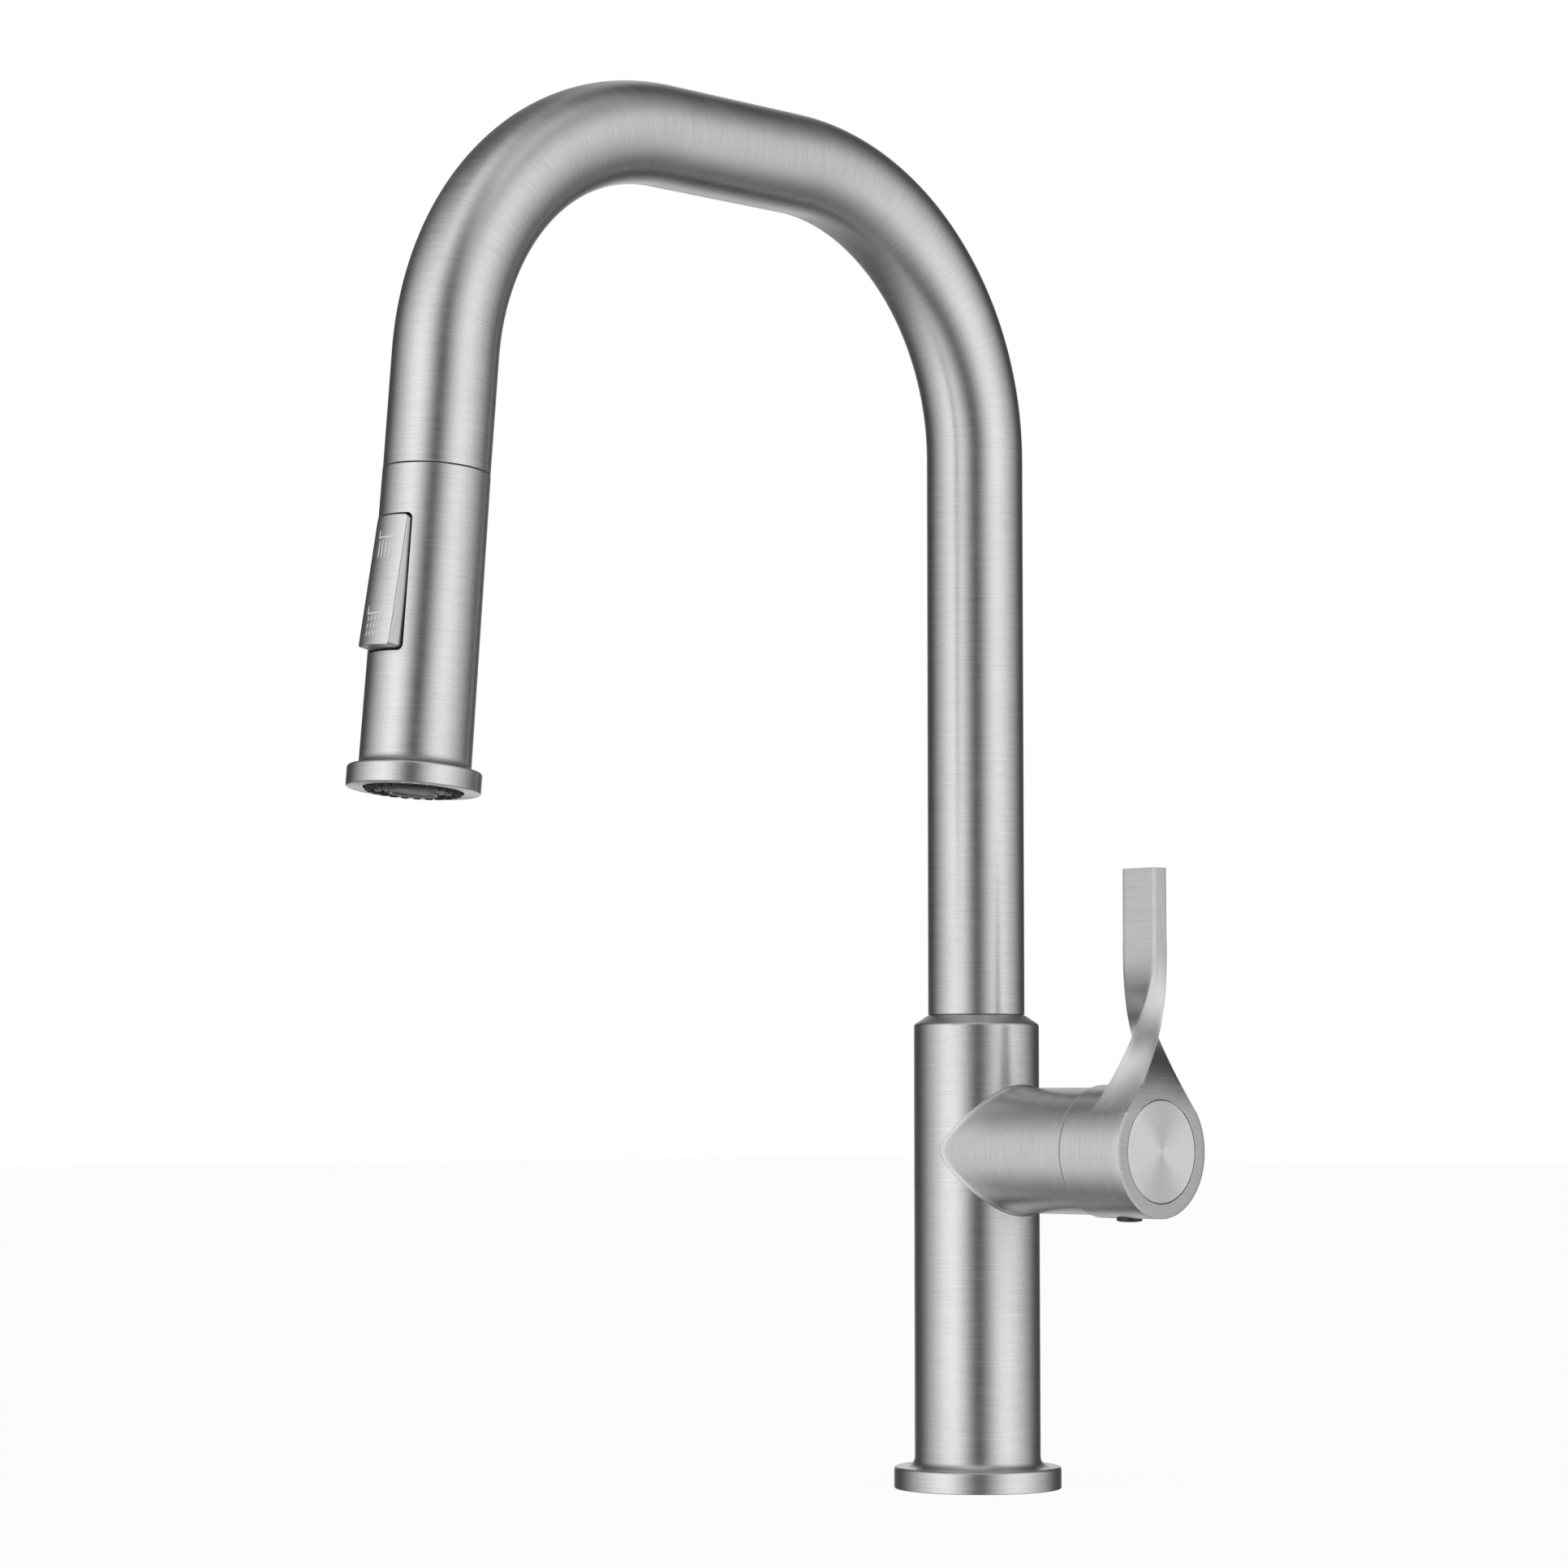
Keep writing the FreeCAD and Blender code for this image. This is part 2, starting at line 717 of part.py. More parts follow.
def make_swivel():
    frame = upright()
    connector = turned("swivel", [
        (D["hose_way_rad"], D["spigot_low"]),
        (D["clip_groove_rad"] + 0.6, D["spigot_low"]),
        (D["clip_groove_rad"] + 0.6, D["clip_low"]),
        (D["clip_groove_rad"], D["clip_low"]),
        (D["clip_groove_rad"], D["clip_high"]),
        (D["spigot_rad"], D["clip_high"]),
        (D["spigot_rad"], D["tube_low"]),
        (D["connector_rad"], D["tube_low"]),
        (D["connector_rad"], D["connector_high"]),
        (D["hose_way_rad"], D["connector_high"]),
    ], frame)
    section = 0.9
    track = D["bush_bore_rad"] - 0.03 - section
    grooves = []
    seals = []
    for high in (129.0, 138.0):
        spot = offset(frame, z=high)
        seals.append(ring("swivel_seal", track, section, spot))
        grooves.append(washer("seal_groove", track - section - 0.01, 20, -1.1, 1.1, spot))
    keep(cut("swivel_connector", connector, *grooves), "swivel_connector")
    keep(group("swivel_o_rings", seals), "swivel_o_rings")
    clip = washer("clip", D["clip_groove_rad"], 14.6, D["clip_low"] + 0.05, D["clip_high"] - 0.05, frame)
    gap = block("clip_gap", 8, 10, 10, offset(frame, 0, 14, 116))
    keep(cut("swivel_clip", clip, gap), "swivel_clip")
    glide = washer("glide", 13.3, 14.75, D["shoulder_top"] + 0.05, D["tube_low"], frame)
    keep(glide, "swivel_washer")


def make_dock():
    frame = down_head()
    top = -(D["dock_deep"] + D["magnet_thick"] + 0.2)
    collar = turned("collar", [
        (D["dock_bore_rad"] + 0.4, -(D["seam_gap"] + 0.1)),
        (D["connector_rad"], -(D["seam_gap"] + 0.1)),
        (D["connector_rad"], top),
        (D["magnet_rad"], top),
        (D["magnet_rad"], -D["dock_deep"]),
        (D["dock_bore_rad"], -D["dock_deep"]),
        (D["dock_bore_rad"], -(D["seam_gap"] + 1.0)),
    ], frame)
    keep(collar, "dock_collar")
    low = -(D["dock_deep"] + D["magnet_thick"])
    magnet = washer("magnet", D["magnet_bore_rad"], D["magnet_rad"], low, -D["dock_deep"], frame)
    keep(magnet, "dock_magnet")


def make_pull_hose():
    leg = D["leg_long"] + D["seam_gap"] + D["hose_stop"]
    keep(spout_rod("pull_hose", D["hose_rad"], D["hose_low"], leg), "pull_hose")


# The hose's end

def make_hose_end():
    frame = down_head()
    ferrule_bore = D["hose_rad"] + 0.05
    ferrule = washer("ferrule", ferrule_bore, D["ferrule_rad"], D["ferrule_top"], D["hose_stop"], frame)
    keep(ferrule, "hose_ferrule")
    connector = turned("hose_fitting", [
        (2.4, D["hose_stop"]),
        (D["ferrule_rad"], D["hose_stop"]),
        (D["ferrule_rad"], -15),
        (D["collar_rad"], -15),
        (D["collar_rad"], -2),
        (D["connector_stem_rad"], -2),
        (D["connector_stem_rad"], D["connector_stem_end"]),
        (2.4, D["connector_stem_end"]),
    ], frame)
    groove = washer("stem_groove", 3.2, 6, 4.9, 6.5, frame)
    keep(cut("hose_connector", connector, groove), "hose_connector")
    keep(ring("hose_seal", 3.62, 0.4, offset(frame, z=5.7)), "hose_seal")


# The spray head

def make_head_shell():
    frame = down_head()
    wall = D["head_wall"]
    shell = turned("shell", [
        (D["head_top_rad"] - wall, D["seam_gap"] - 0.3),
        (D["head_top_rad"] - 0.3, D["seam_gap"] - 0.3),
        (D["head_top_rad"], D["seam_gap"]),
        (D["head_low_rad"], D["head_long"]),
        (D["head_low_rad"] - wall, D["head_long"]),
    ], frame)
    margin = D["button_gap"].value * 2
    wide = D["button_wide"].value + margin
    long = D["button_long"].value + margin
    window_frame = offset(frame, 0, 15, D["button_top"] - D["button_gap"])
    window = block("window", wide, 16, long, window_frame)
    window = rounded("window_round", window, D["button_corner"] + D["button_gap"], runs_outward)
    keep(cut("head_shell", shell, window), "head_shell")


def runs_outward(edge):
    """Picks straight edges that run out through the head's front."""
    if not isinstance(edge.Curve, Part.Line):
        return False
    front = down_head().Rotation.multVec(FreeCAD.Vector(0, 1, 0))
    return abs(edge.Curve.Direction.dot(front)) > 0.999


def make_dock_plug():
    plug = turned("dock_neck", [
        (D["plug_neck_bore_rad"], -D["plug_neck_up"]),
        (D["plug_neck_rad"] - 1, -D["plug_neck_up"]),
        (D["plug_neck_rad"], -D["plug_neck_up"] + 1),
        (D["plug_neck_rad"], 0),
        (D["head_top_rad"] - D["head_wall"] - 0.02, 0),
        (D["head_top_rad"] - D["head_wall"] - 0.02, D["head_core_start"]),
        (D["plug_neck_bore_rad"], D["head_core_start"]),
    ], down_head())
    keep(plug, "dock_plug")


def pivot_frame():
    """The rocker's pivot, half way down the button."""
    return offset(down_head(), 0, D["pivot_high"], D["button_top"] + D["button_long"] / 2)


def make_waterway_core():
    frame = down_head()
    stem = D["connector_stem_rad"]
    core = turned("head_core", [
        (stem + D["fit_gap"], D["head_core_start"]),
        (D["head_core_rad"], D["head_core_start"]),
        (D["head_core_rad"], D["head_core_end"]),
        (13.5, D["head_core_end"] + 2),
        (13.5, D["head_long"] - 0.4),
        (11.0, D["head_long"] - 0.4),
        (5.0, D["head_core_end"]),
        (5.0, D["head_core_end"] - 12),
        (2.0, D["head_core_end"] - 13),
        (2.0, D["connector_stem_end"] + 1),
        (stem + D["fit_gap"], D["connector_stem_end"] + 1),
    ], frame)
    flat = block("core_flat", 30, 20, 42, offset(frame, 0, D["core_flat"] + 10, 12.5))
    spool_top = D["button_top"] + D["button_long"] / 2 - D["spool_long"] / 2 - 2
    spool_frame = offset(frame, 0, D["spool_high"], spool_top)
    spool_way = rod("spool_way", D["spool_rad"] + D["fit_gap"], D["spool_long"] + 4, spool_frame)
    slot = block("nib_slot", D["nib_wide"] + 0.8, 8, 6, offset(pivot_frame(), 0, -D["pivot_high"] + 6, -3))
    trimmed = cut("head_core_bored", core, flat, spool_way, slot)
    lugs = []
    for side in (-1, 1):
        spot = offset(pivot_frame(), 4.1 * side, -2.5, -2.4)
        lugs.append(block("pivot_lug", 1.7, 8, 4.8, spot))
    whole = joined("core_with_lugs", [trimmed] + lugs)
    keep(cut("waterway_core", whole, pivot_rod("pin_way", D["pin_rad"])), "waterway_core")


def pivot_rod(name, radius):
    turn = FreeCAD.Rotation(FreeCAD.Vector(0, 1, 0), 90)
    middle = offset(pivot_frame(), -D["pin_long"].value / 2, 0, 0, turn)
    return rod(name, radius, D["pin_long"], middle)


def make_rocker_pin():
    keep(pivot_rod("rocker_pin", D["pin_rad"]), "rocker_pin")


def make_check_valve():
    frame = down_head()
    valve = washer("valve", 1.6, 4.9, D["head_core_end"] - 10, D["head_core_end"] - 2, frame)
    keep(valve, "check_valve")


def make_outlet():
    frame = down_head()
    top = D["head_long"]
    low = D["head_long"] + D["ring_high"]
    collar = turned("outlet", [
        (D["face_rad"] + 0.15, top + 0.1),
        (D["ring_rad"] - D["ring_edge"], top + 0.1),
        (D["ring_rad"], top + D["ring_edge"]),
        (D["ring_rad"], low - 0.4),
        (D["ring_rad"] - 0.4, low),
        (D["face_rad"] + 0.15, low),
    ], frame)
    keep(collar, "outlet_ring")
    face_low = low - D["face_inset"]
    pad_low = face_low - D["face_thick"]
    nozzle_start = low + D["nozzle_proud"] - D["nozzle_long"]
    face = washer("face", D["aerator_rad"] + 0.05, D["face_rad"], pad_low, face_low, frame)
    holes = []
    nozzles = []
    count = int(D["nozzle_count"].value)
    for number in range(count):
        turn = FreeCAD.Rotation(FreeCAD.Vector(0, 0, 1), 360.0 * number / count)
        spot = offset(offset(frame, turn=turn), x=D["nozzle_ring_rad"], z=nozzle_start)
        holes.append(rod("nozzle_hole", D["nozzle_rad"], D["nozzle_long"], spot))
        nozzles.append(rod("nozzle", D["nozzle_rad"], D["nozzle_long"], spot))
    keep(cut("spray_face", face, group("nozzle_holes", holes)), "spray_face")
    pad = washer("pad", D["pad_in_rad"], D["pad_out_rad"], pad_low - D["pad_thick"], pad_low, frame)
    keep(joined("nozzle_pad", [pad] + nozzles), "nozzle_pad")
    aerator_low = low + D["aerator_proud"]
    lip_high = aerator_low - D["aerator_lip_high"]
    housing_top = top - D["disc_clear"]
    housing = turned("aerator", [
        (D["mesh_rad"], housing_top),
        (D["aerator_rad"], housing_top),
        (D["aerator_rad"], aerator_low),
        (D["mesh_rad"] - D["aerator_lip"], aerator_low),
        (D["mesh_rad"] - D["aerator_lip"], lip_high),
        (D["mesh_rad"], lip_high),
    ], frame)
    keep(housing, "aerator_housing")
    screen = rod("screen", D["mesh_rad"], D["mesh_thick"], offset(frame, z=lip_high - D["mesh_thick"]))
    keep(screen, "aerator_mesh")


# The rocker button and what it moves

def tilted_pivot():
    turn = FreeCAD.Rotation(FreeCAD.Vector(1, 0, 0), -D["button_tilt"].value)
    return offset(pivot_frame(), turn=turn)


def make_rocker():
    frame = tilted_pivot()
    half = D["button_long"].value / 2
    reach = D["button_low"].value - D["pivot_high"].value
    blank = block("button_blank", D["button_wide"], 14, D["button_long"], offset(frame, 0, reach + 7, -half))
    blank = rounded("button_round", blank, D["button_corner"], runs_along_button)
    crown_rad = D["head_top_rad"] + 0.3
    sink = D["button_proud"].value - D["pivot_high"].value
    crown = rod("button_crown", crown_rad, D["button_long"] + 4, offset(frame, 0, sink, -half - 2))
    outside = doc.addObject("Part::Common", "button_outside")
    outside.Base = blank
    outside.Tool = crown
    wall = D["button_wall"].value * 2
    roof = D["button_roof"].value - D["pivot_high"].value
    hollow_long = D["button_long"].value - wall
    hollow_wide = D["button_wide"].value - wall
    hollow_place = offset(frame, 0, roof - 5, -hollow_long / 2)
    hollow = block("button_hollow", hollow_wide, 10, hollow_long, hollow_place)
    shell = cut("button_shell", outside, hollow)
    rib_deep = roof + 2.2
    rib = block("button_rib", D["rib_wide"], rib_deep, D["rib_long"],
                offset(frame, 0, roof + 0.2 - rib_deep / 2, -D["rib_long"].value / 2))
    nib_top = -1.5
    nib_end = D["nib_tip"].value - D["pivot_high"].value
    nib = block("button_nib", D["nib_wide"], nib_top - nib_end, D["nib_thick"],
                offset(frame, 0, (nib_top + nib_end) / 2, -D["nib_thick"].value / 2))
    whole = joined("button_whole", [shell, rib, nib])
    keep(cut("rocker_button", whole, pivot_rod("rocker_way", D["pin_rad"] + D["fit_gap"])), "rocker_button")


def runs_along_button(edge):
    """Picks straight edges that run outward through the tilted button."""
    if not isinstance(edge.Curve, Part.Line):
        return False
    front = tilted_pivot().Rotation.multVec(FreeCAD.Vector(0, 1, 0))
    return abs(edge.Curve.Direction.dot(front)) > 0.999


def make_diverter():
    reach = D["pivot_high"].value - D["nib_touch"].value
    shift = reach * math.sin(math.radians(D["button_tilt"].value))
    middle = D["button_top"].value + D["button_long"].value / 2 + shift
    half = D["spool_long"].value / 2
    waist = D["spool_waist_long"].value / 2
    frame = offset(down_head(), 0, D["spool_high"])
    spool = turned("spool", [
        (0, middle - half),
        (D["spool_rad"], middle - half),
        (D["spool_rad"], middle - waist),
        (D["spool_waist_rad"], middle - waist),
        (D["spool_waist_rad"], middle + waist),
        (D["spool_rad"], middle + waist),
        (D["spool_rad"], middle + half),
        (0, middle + half),
    ], frame)
    seals = []
    grooves = []
    for side in (-1, 1):
        spot = offset(frame, z=middle + side * (half - 3))
        seals.append(ring("spool_seal", D["spool_rad"] - 0.53, 0.5, spot))
        grooves.append(washer("spool_groove", D["spool_rad"] - 1.04, 5, -0.7, 0.7, spot))
    keep(cut("diverter_spool", spool, *grooves), "diverter_spool")
    keep(group("spool_seals", seals), "spool_seals")


def make_everything():
    make_valve_body()
    make_side_arm()
    make_deck_side()
    make_valve_core()
    make_port_nipples()
    make_cartridge()
    make_cartridge_nut()
    make_bonnet_ring()
    make_swivel_bush()
    make_handle_lever()
    make_handle_cap()
    make_spout_tube()
    make_swivel()
    make_dock()
    make_pull_hose()
    make_hose_end()
    make_head_shell()
    make_dock_plug()
    make_waterway_core()
    make_rocker_pin()
    make_check_valve()
    make_outlet()
    make_rocker()
    make_diverter()


def check_everything():
    doc.recompute()
    for item in doc.Objects:
        if "Invalid" in item.State or "Error" in item.State:
            raise RuntimeError("%s did not compute" % item.Name)
    for item in nodes:
        if item.Shape.isNull() or not item.Shape.isValid():
            raise RuntimeError("%s has no valid shape" % item.Label)


def write_everything():
    os.makedirs("parts", exist_ok=True)
    for item in nodes:
        item.Shape.exportStep("parts/%s.step" % item.Label)
        print("%-20s %10.1f mm3  %d solid(s)" % (item.Label, item.Shape.Volume, len(item.Shape.Solids)))


make_everything()
check_everything()
write_everything()
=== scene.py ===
import json
from math import asin, cos, hypot, pi, radians, sin, sqrt, tan

import bmesh
import bpy
from mathutils import Matrix, Vector


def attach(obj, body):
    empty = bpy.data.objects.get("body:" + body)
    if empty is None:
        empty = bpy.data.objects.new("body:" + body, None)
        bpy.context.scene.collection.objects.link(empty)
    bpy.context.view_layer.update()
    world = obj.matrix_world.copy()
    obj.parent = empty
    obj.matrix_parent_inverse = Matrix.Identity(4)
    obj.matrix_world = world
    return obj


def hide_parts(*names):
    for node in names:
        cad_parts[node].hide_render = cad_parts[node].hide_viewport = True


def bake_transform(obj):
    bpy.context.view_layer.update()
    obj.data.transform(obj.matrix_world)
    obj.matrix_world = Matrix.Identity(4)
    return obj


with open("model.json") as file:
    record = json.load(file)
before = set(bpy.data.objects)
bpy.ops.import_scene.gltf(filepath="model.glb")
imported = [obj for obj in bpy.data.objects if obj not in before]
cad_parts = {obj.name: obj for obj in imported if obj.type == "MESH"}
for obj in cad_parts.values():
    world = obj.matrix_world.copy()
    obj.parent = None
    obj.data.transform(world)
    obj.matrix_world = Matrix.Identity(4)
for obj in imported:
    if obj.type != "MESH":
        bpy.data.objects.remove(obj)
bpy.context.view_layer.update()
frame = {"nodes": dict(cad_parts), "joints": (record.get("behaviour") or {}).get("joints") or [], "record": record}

# Pull-down kitchen faucet. Lengths below are in millimetres and become metres when a mesh is made.
MM = 0.001
ON_AXIS = 1e-6
UV_NAME = "brush"
ROUGH_SPREAD = 0.05
BRAID_ANGLE = 35.0
JOINTS = {joint["name"]: joint for joint in frame["joints"]}

# Column, foot and arm
COLUMN_RAD = 19.45
COLUMN_BORE_RAD = 16.5
COLUMN_TOP = 142.9
SHOULDER_TOP = 145.7
SHOULDER_RAD = 15.05
BUSH_RAD = 14.6
FOOT_RAD = 25.85
FOOT_HIGH = 6.7
FOOT_FILLET = 5.0
GASKET_IN = 20.0
GASKET_OUT = 23.6
GASKET_DEEP = 1.6
ARM_RAD = 19.2
ARM_BORE_RAD = 16.3
ARM_END = 51.0
ARM_SEAT = 46.0
ARM_BORE_START = 17.0
RING_SEAT_RAD = 18.0
# Radii of the black ring down in the arm-hub seam, which is painted shade for the groove's dark line
SEAM_SHADE_IN = 17.4
SEAM_SHADE_OUT = 18.9
ARM_FLARE = 1.15
ARM_FLARE_LONG = 2.4

# Handle
HUB_RAD = 20.05
HUB_START = 51.3
HUB_END = 75.1
HUB_MOUTH_RAD = 18.4
LIFT_STEPS = 60
FACE_COLS = 10
CAP_RAD = 15.4
CAP_GAP = 0.22
CAP_START = 72.0
PLUG_ALONG = 62.25
PLUG_RAD = 3.85
PLUG_PROUD = 1.1
PLUG_START = 17.5
STRAP_LOW = 11.5
STRAP_HIGH = 85.0
TWIST_LOW = 10.0
TWIST_HIGH = 62.0
STRAP_LOW_THICK = 15.0
STRAP_TOP_THICK = 5.35
STRAP_LOW_WIDE = 32.8
STRAP_TOP_WIDE = 12.7
STRAP_TOP_ALONG = 68.9
THICK_POWER = 3.55
WIDE_POWER = 5.58
ALONG_POWER = 12.0

# Spout
TUBE_RAD = 15.0
TUBE_BORE_RAD = 13.8
TUBE_LOW = 145.95
RISER_TOP = 320.0
BEND_RAD = 82.0
SPAN_LONG = 54.0
DROP_ANGLE = 85.0
LEG_LONG = 33.6
HOSE_RAD = 4.5
HOSE_LOW = 19.0
HOSE_STOP = 17.0
SEAM_GAP = 0.3

# Spray head, down its axis from the seam
HEAD_TOP_RAD = 15.08
HEAD_LOW_RAD = 15.6
HEAD_LONG = 83.3
HEAD_WALL = 1.7
WINDOW_TOP = 14.2
WINDOW_LONG = 38.4
WINDOW_WIDE = 14.1
WINDOW_ROUND = 1.7
RING_RAD = 18.7
RING_HIGH = 6.0
FACE_RAD = 13.8
AERATOR_RAD = 7.2
MESH_RAD = 6.0
FACE_INSET = 0.5
NOZZLE_PROUD = 0.8
NOZZLE_COUNT = 24
NOZZLE_RING_RAD = 10.2
BOSS_RING_RAD = 9.7
TOOTH_RING_RAD = 12.5
TOOTH_WIDE = 1.9
TOOTH_DEEP = 2.1
TOOTH_SUNK = 1.4
AERATOR_PROUD = 1.2

# Button
BUTTON_LONG = 37.2
BUTTON_WIDE = 13.1
BUTTON_ROUND = 1.2
BUTTON_TILT = 5.4
BUTTON_MIDDLE = 33.5
PIVOT_HIGH = 13.4
BUTTON_LOW = 11.0
BUTTON_WALL = 1.3
BUTTON_ROOF = 15.6
BUTTON_PROUD = 2.25


# Camera, floor and studio. The camera and floor are in metres; a fade is (low, high, share left)
# against the height of a direction, and a band is (degrees round, brightness).
CAMERA_AZIMUTH = 45.2
STUDIO_AZIMUTH = 45.8
CAMERA_PLACE = Vector((0.9216, -0.9996, 0.1183))
CAMERA_PITCH = 4.20
CAMERA_LENS = 100.0
FLOOR_CLEAR = 0.95
FLOOR_SIZE = 6.0
FLOOR_DROP = 0.0002
STUDIO_POWER = 1.62
STUDIO_FADE = (0.42, 1.0, 0.24)
STUDIO_BANDS = (
    (-180, 0.75), (-171, 0.30), (-158, 0.02), (-126, 0.03), (-106, 0.30), (-84, 0.57),
    (-62, 0.92), (-44, 0.98), (-30, 0.66), (-16, 0.28), (-6, 0.02), (4, 0.02), (14, 0.22),
    (28, 0.60), (44, 0.90), (62, 0.86), (84, 0.53), (106, 0.28), (126, 0.03), (158, 0.02),
    (171, 0.30), (180, 0.75),
)


# ---- frames

def frame_matrix(origin, x_axis, y_axis, z_axis):
    """A placement in millimetres from an origin and three axes."""
    rows = Matrix((x_axis, y_axis, z_axis)).transposed().to_4x4()
    return Matrix.Translation(origin) @ rows


def joint_point(name):
    return Vector(JOINTS[name]["pos_m"]) / MM


AXIS_HIGH = joint_point("handle_turn").z
HEAD_DOWN = Vector(JOINTS["hose_pull"]["axis"]).normalized()
HEAD_SEAM = joint_point("head_twist")
HEAD_FRONT = HEAD_DOWN.cross(Vector((1, 0, 0))).normalized()

UPRIGHT = Matrix.Identity(4)
ARM = frame_matrix(Vector((0, 0, AXIS_HIGH)), (0, 0, -1), (0, 1, 0), (1, 0, 0))
HEAD = frame_matrix(HEAD_SEAM, (1, 0, 0), HEAD_FRONT, HEAD_DOWN)
TILTED = HEAD @ Matrix.Translation((0, PIVOT_HIGH, BUTTON_MIDDLE))
TILTED = TILTED @ Matrix.Rotation(-radians(BUTTON_TILT), 4, "X")


# ---- mesh making

def tidy_mesh(mesh):
    """Joins doubled points, turns the faces outward and shades them smooth."""
    work = bmesh.new()
    work.from_mesh(mesh)
    bmesh.ops.remove_doubles(work, verts=work.verts, dist=0.004 * MM)
    bmesh.ops.recalc_face_normals(work, faces=work.faces)
    for face in work.faces:
        face.smooth = True
    work.to_mesh(mesh)
    work.free()
    mesh.update()


class Builder:
    """Collects points, faces and brush-direction UVs, then makes one smooth mesh."""

    def __init__(self):
        self.points = []
        self.faces = []
        self.uvs = []

    def point(self, place):
        self.points.append(Vector(place))
        return len(self.points) - 1

    def face(self, corners, uvs):
        self.faces.append(tuple(corners))
        self.uvs.append([tuple(uv) for uv in uvs])

    def grid(self, rows, uv_rows, wrap=False):
        """Quads between rows of point numbers; the UV rows are one longer when the grid wraps."""
        for r in range(len(rows) - 1):
            low, high = rows[r], rows[r + 1]
            count = len(low)
            for c in range(count if wrap else count - 1):
                n = (c + 1) % count
                quad = (low[c], low[n], high[n], high[c])
                uv = (uv_rows[r][c], uv_rows[r][c + 1], uv_rows[r + 1][c + 1], uv_rows[r + 1][c])
                kept = [i for i in range(4) if quad[i] != quad[i - 1]]
                if len(kept) > 2:
                    self.face([quad[i] for i in kept], [uv[i] for i in kept])

    def sheet(self, rows, uv_rows, wrap=False, flip=False):
        """A grid from rows of places; flip turns each row round. Gives the point numbers."""
        numbered = [[self.point(place) for place in row] for row in rows]
        if flip:
            numbered = [row[::-1] for row in numbered]
            uv_rows = [row[::-1] for row in uv_rows]
        self.grid(numbered, uv_rows, wrap)
        return numbered

    def make(self, name, material, matrix=UPRIGHT, body=None, slot=None, stands_for=()):
        mesh = bpy.data.meshes.new(name)
        mesh.from_pydata([tuple((matrix @ p) * MM) for p in self.points], [], self.faces)
        layer = mesh.uv_layers.new(name=UV_NAME)
        flat = [uv for face in self.uvs for uv in face]
        for loop, uv in zip(layer.data, flat):
            loop.uv = (uv[0] * MM, uv[1] * MM)
        tidy_mesh(mesh)
        mesh.materials.append(material)
        piece = bpy.data.objects.new(name, mesh)
        bpy.context.scene.collection.objects.link(piece)
        if body:
            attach(piece, body)
        if stands_for:
            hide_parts(*stands_for)
        return piece


def arc_corner(before, corner, after, radius, steps=5):
    """The points of a rounded corner, with a support point just outside each end."""
    into = (corner - before).normalized()
    out = (after - corner).normalized()
    turn = into.angle(out, 0.0)
    if radius <= 0.0 or turn < 0.02:
        return [corner]
    reach = radius * tan(turn / 2)
    reach = min(reach, 0.45 * (corner - before).length, 0.45 * (after - corner).length)
    real = reach / tan(turn / 2)
    start = corner - into * reach
    side = 1.0 if into.x * out.y - into.y * out.x > 0 else -1.0
    normal = Vector((-into.y, into.x)) * side
    centre = start + normal * real
    arm = start - centre
    points = []
    for i in range(steps + 1):
        angle = side * turn * i / steps
        c, s = cos(angle), sin(angle)
        points.append(centre + Vector((arm.x * c - arm.y * s, arm.x * s + arm.y * c)))
    margin = min(0.12, reach * 0.3)
    return [start - into * margin] + points + [corner + out * (reach + margin)]


def rounded_loop(corners):
    """A closed outline from (x, y, radius) corners."""
    count = len(corners)
    flat = [Vector(corner[:2]) for corner in corners]
    loop = []
    for i in range(count):
        loop += arc_corner(flat[i - 1], flat[i], flat[(i + 1) % count], corners[i][2])
    return loop


def full_turn(around, start=0.0):
    """Evenly spaced angles round a circle."""
    return [start + 2 * pi * k / around for k in range(around)]


def around_uvs(radius, around, travel):
    """UVs of one ring: U runs round it and V is the way travelled along the outline."""
    return [(radius * 2 * pi * k / around, travel) for k in range(around + 1)]


def lathe(outline, brush_rad, around, closed):
    """A body of revolution about local z, brushed around its axis."""
    build = Builder()
    rows = []
    uv_rows = []
    travel = 0.0
    spin = full_turn(around, pi)
    for i, here in enumerate(outline + outline[:1] if closed else outline):
        if i:
            travel += (here - outline[i - 1]).length
        uv_rows.append(around_uvs(brush_rad, around, travel))
        if i == len(outline):
            rows.append(rows[0])
        elif here.x < ON_AXIS:
            rows.append([build.point((0, 0, here.y))] * around)
        else:
            rows.append([build.point((here.x * cos(a), here.x * sin(a), here.y)) for a in spin])
    build.grid(rows, uv_rows, wrap=True)
    return build


def turned(corners, around=160):
    """A lathed ring: its outline is a closed loop away from the axis."""
    loop = rounded_loop(corners)
    return lathe(loop, sum(p.x for p in loop) / len(loop), around, True)


def open_turned(corners, around=160):
    """A lathed solid: its outline starts and ends on the axis."""
    loop = rounded_loop(corners)
    outline = [Vector((0, corners[0][1]))] + loop + [Vector((0, corners[-1][1]))]
    return lathe(outline, max(p.x for p in loop), around, False)


# ---- materials

def new_material(name):
    material = bpy.data.materials.new(name)
    material.use_nodes = True
    tree = material.node_tree
    return material, tree, tree.nodes["Principled BSDF"]


def add_node(tree, kind, values=None, links=None):
    """A node with some inputs set to values and others linked to outputs."""
    item = tree.nodes.new(kind)
    for socket, value in (values or {}).items():
        item.inputs[socket].default_value = value
    for socket, source in (links or {}).items():
        tree.links.new(source, item.inputs[socket])
    return item


def set_values(shader, **values):
    """Sets uniform numbers on the shader's own sockets."""
    for socket, value in values.items():
        shader.inputs[socket.replace("_", " ")].default_value = value


def calculate(tree, operation, *terms):
    """A math node on outputs and plain numbers."""
    item = tree.nodes.new("ShaderNodeMath")
    item.operation = operation
    for socket, term in zip(item.inputs, terms):
        if isinstance(term, float):
            socket.default_value = term
        else:
            tree.links.new(term, socket)
    return item.outputs["Value"]


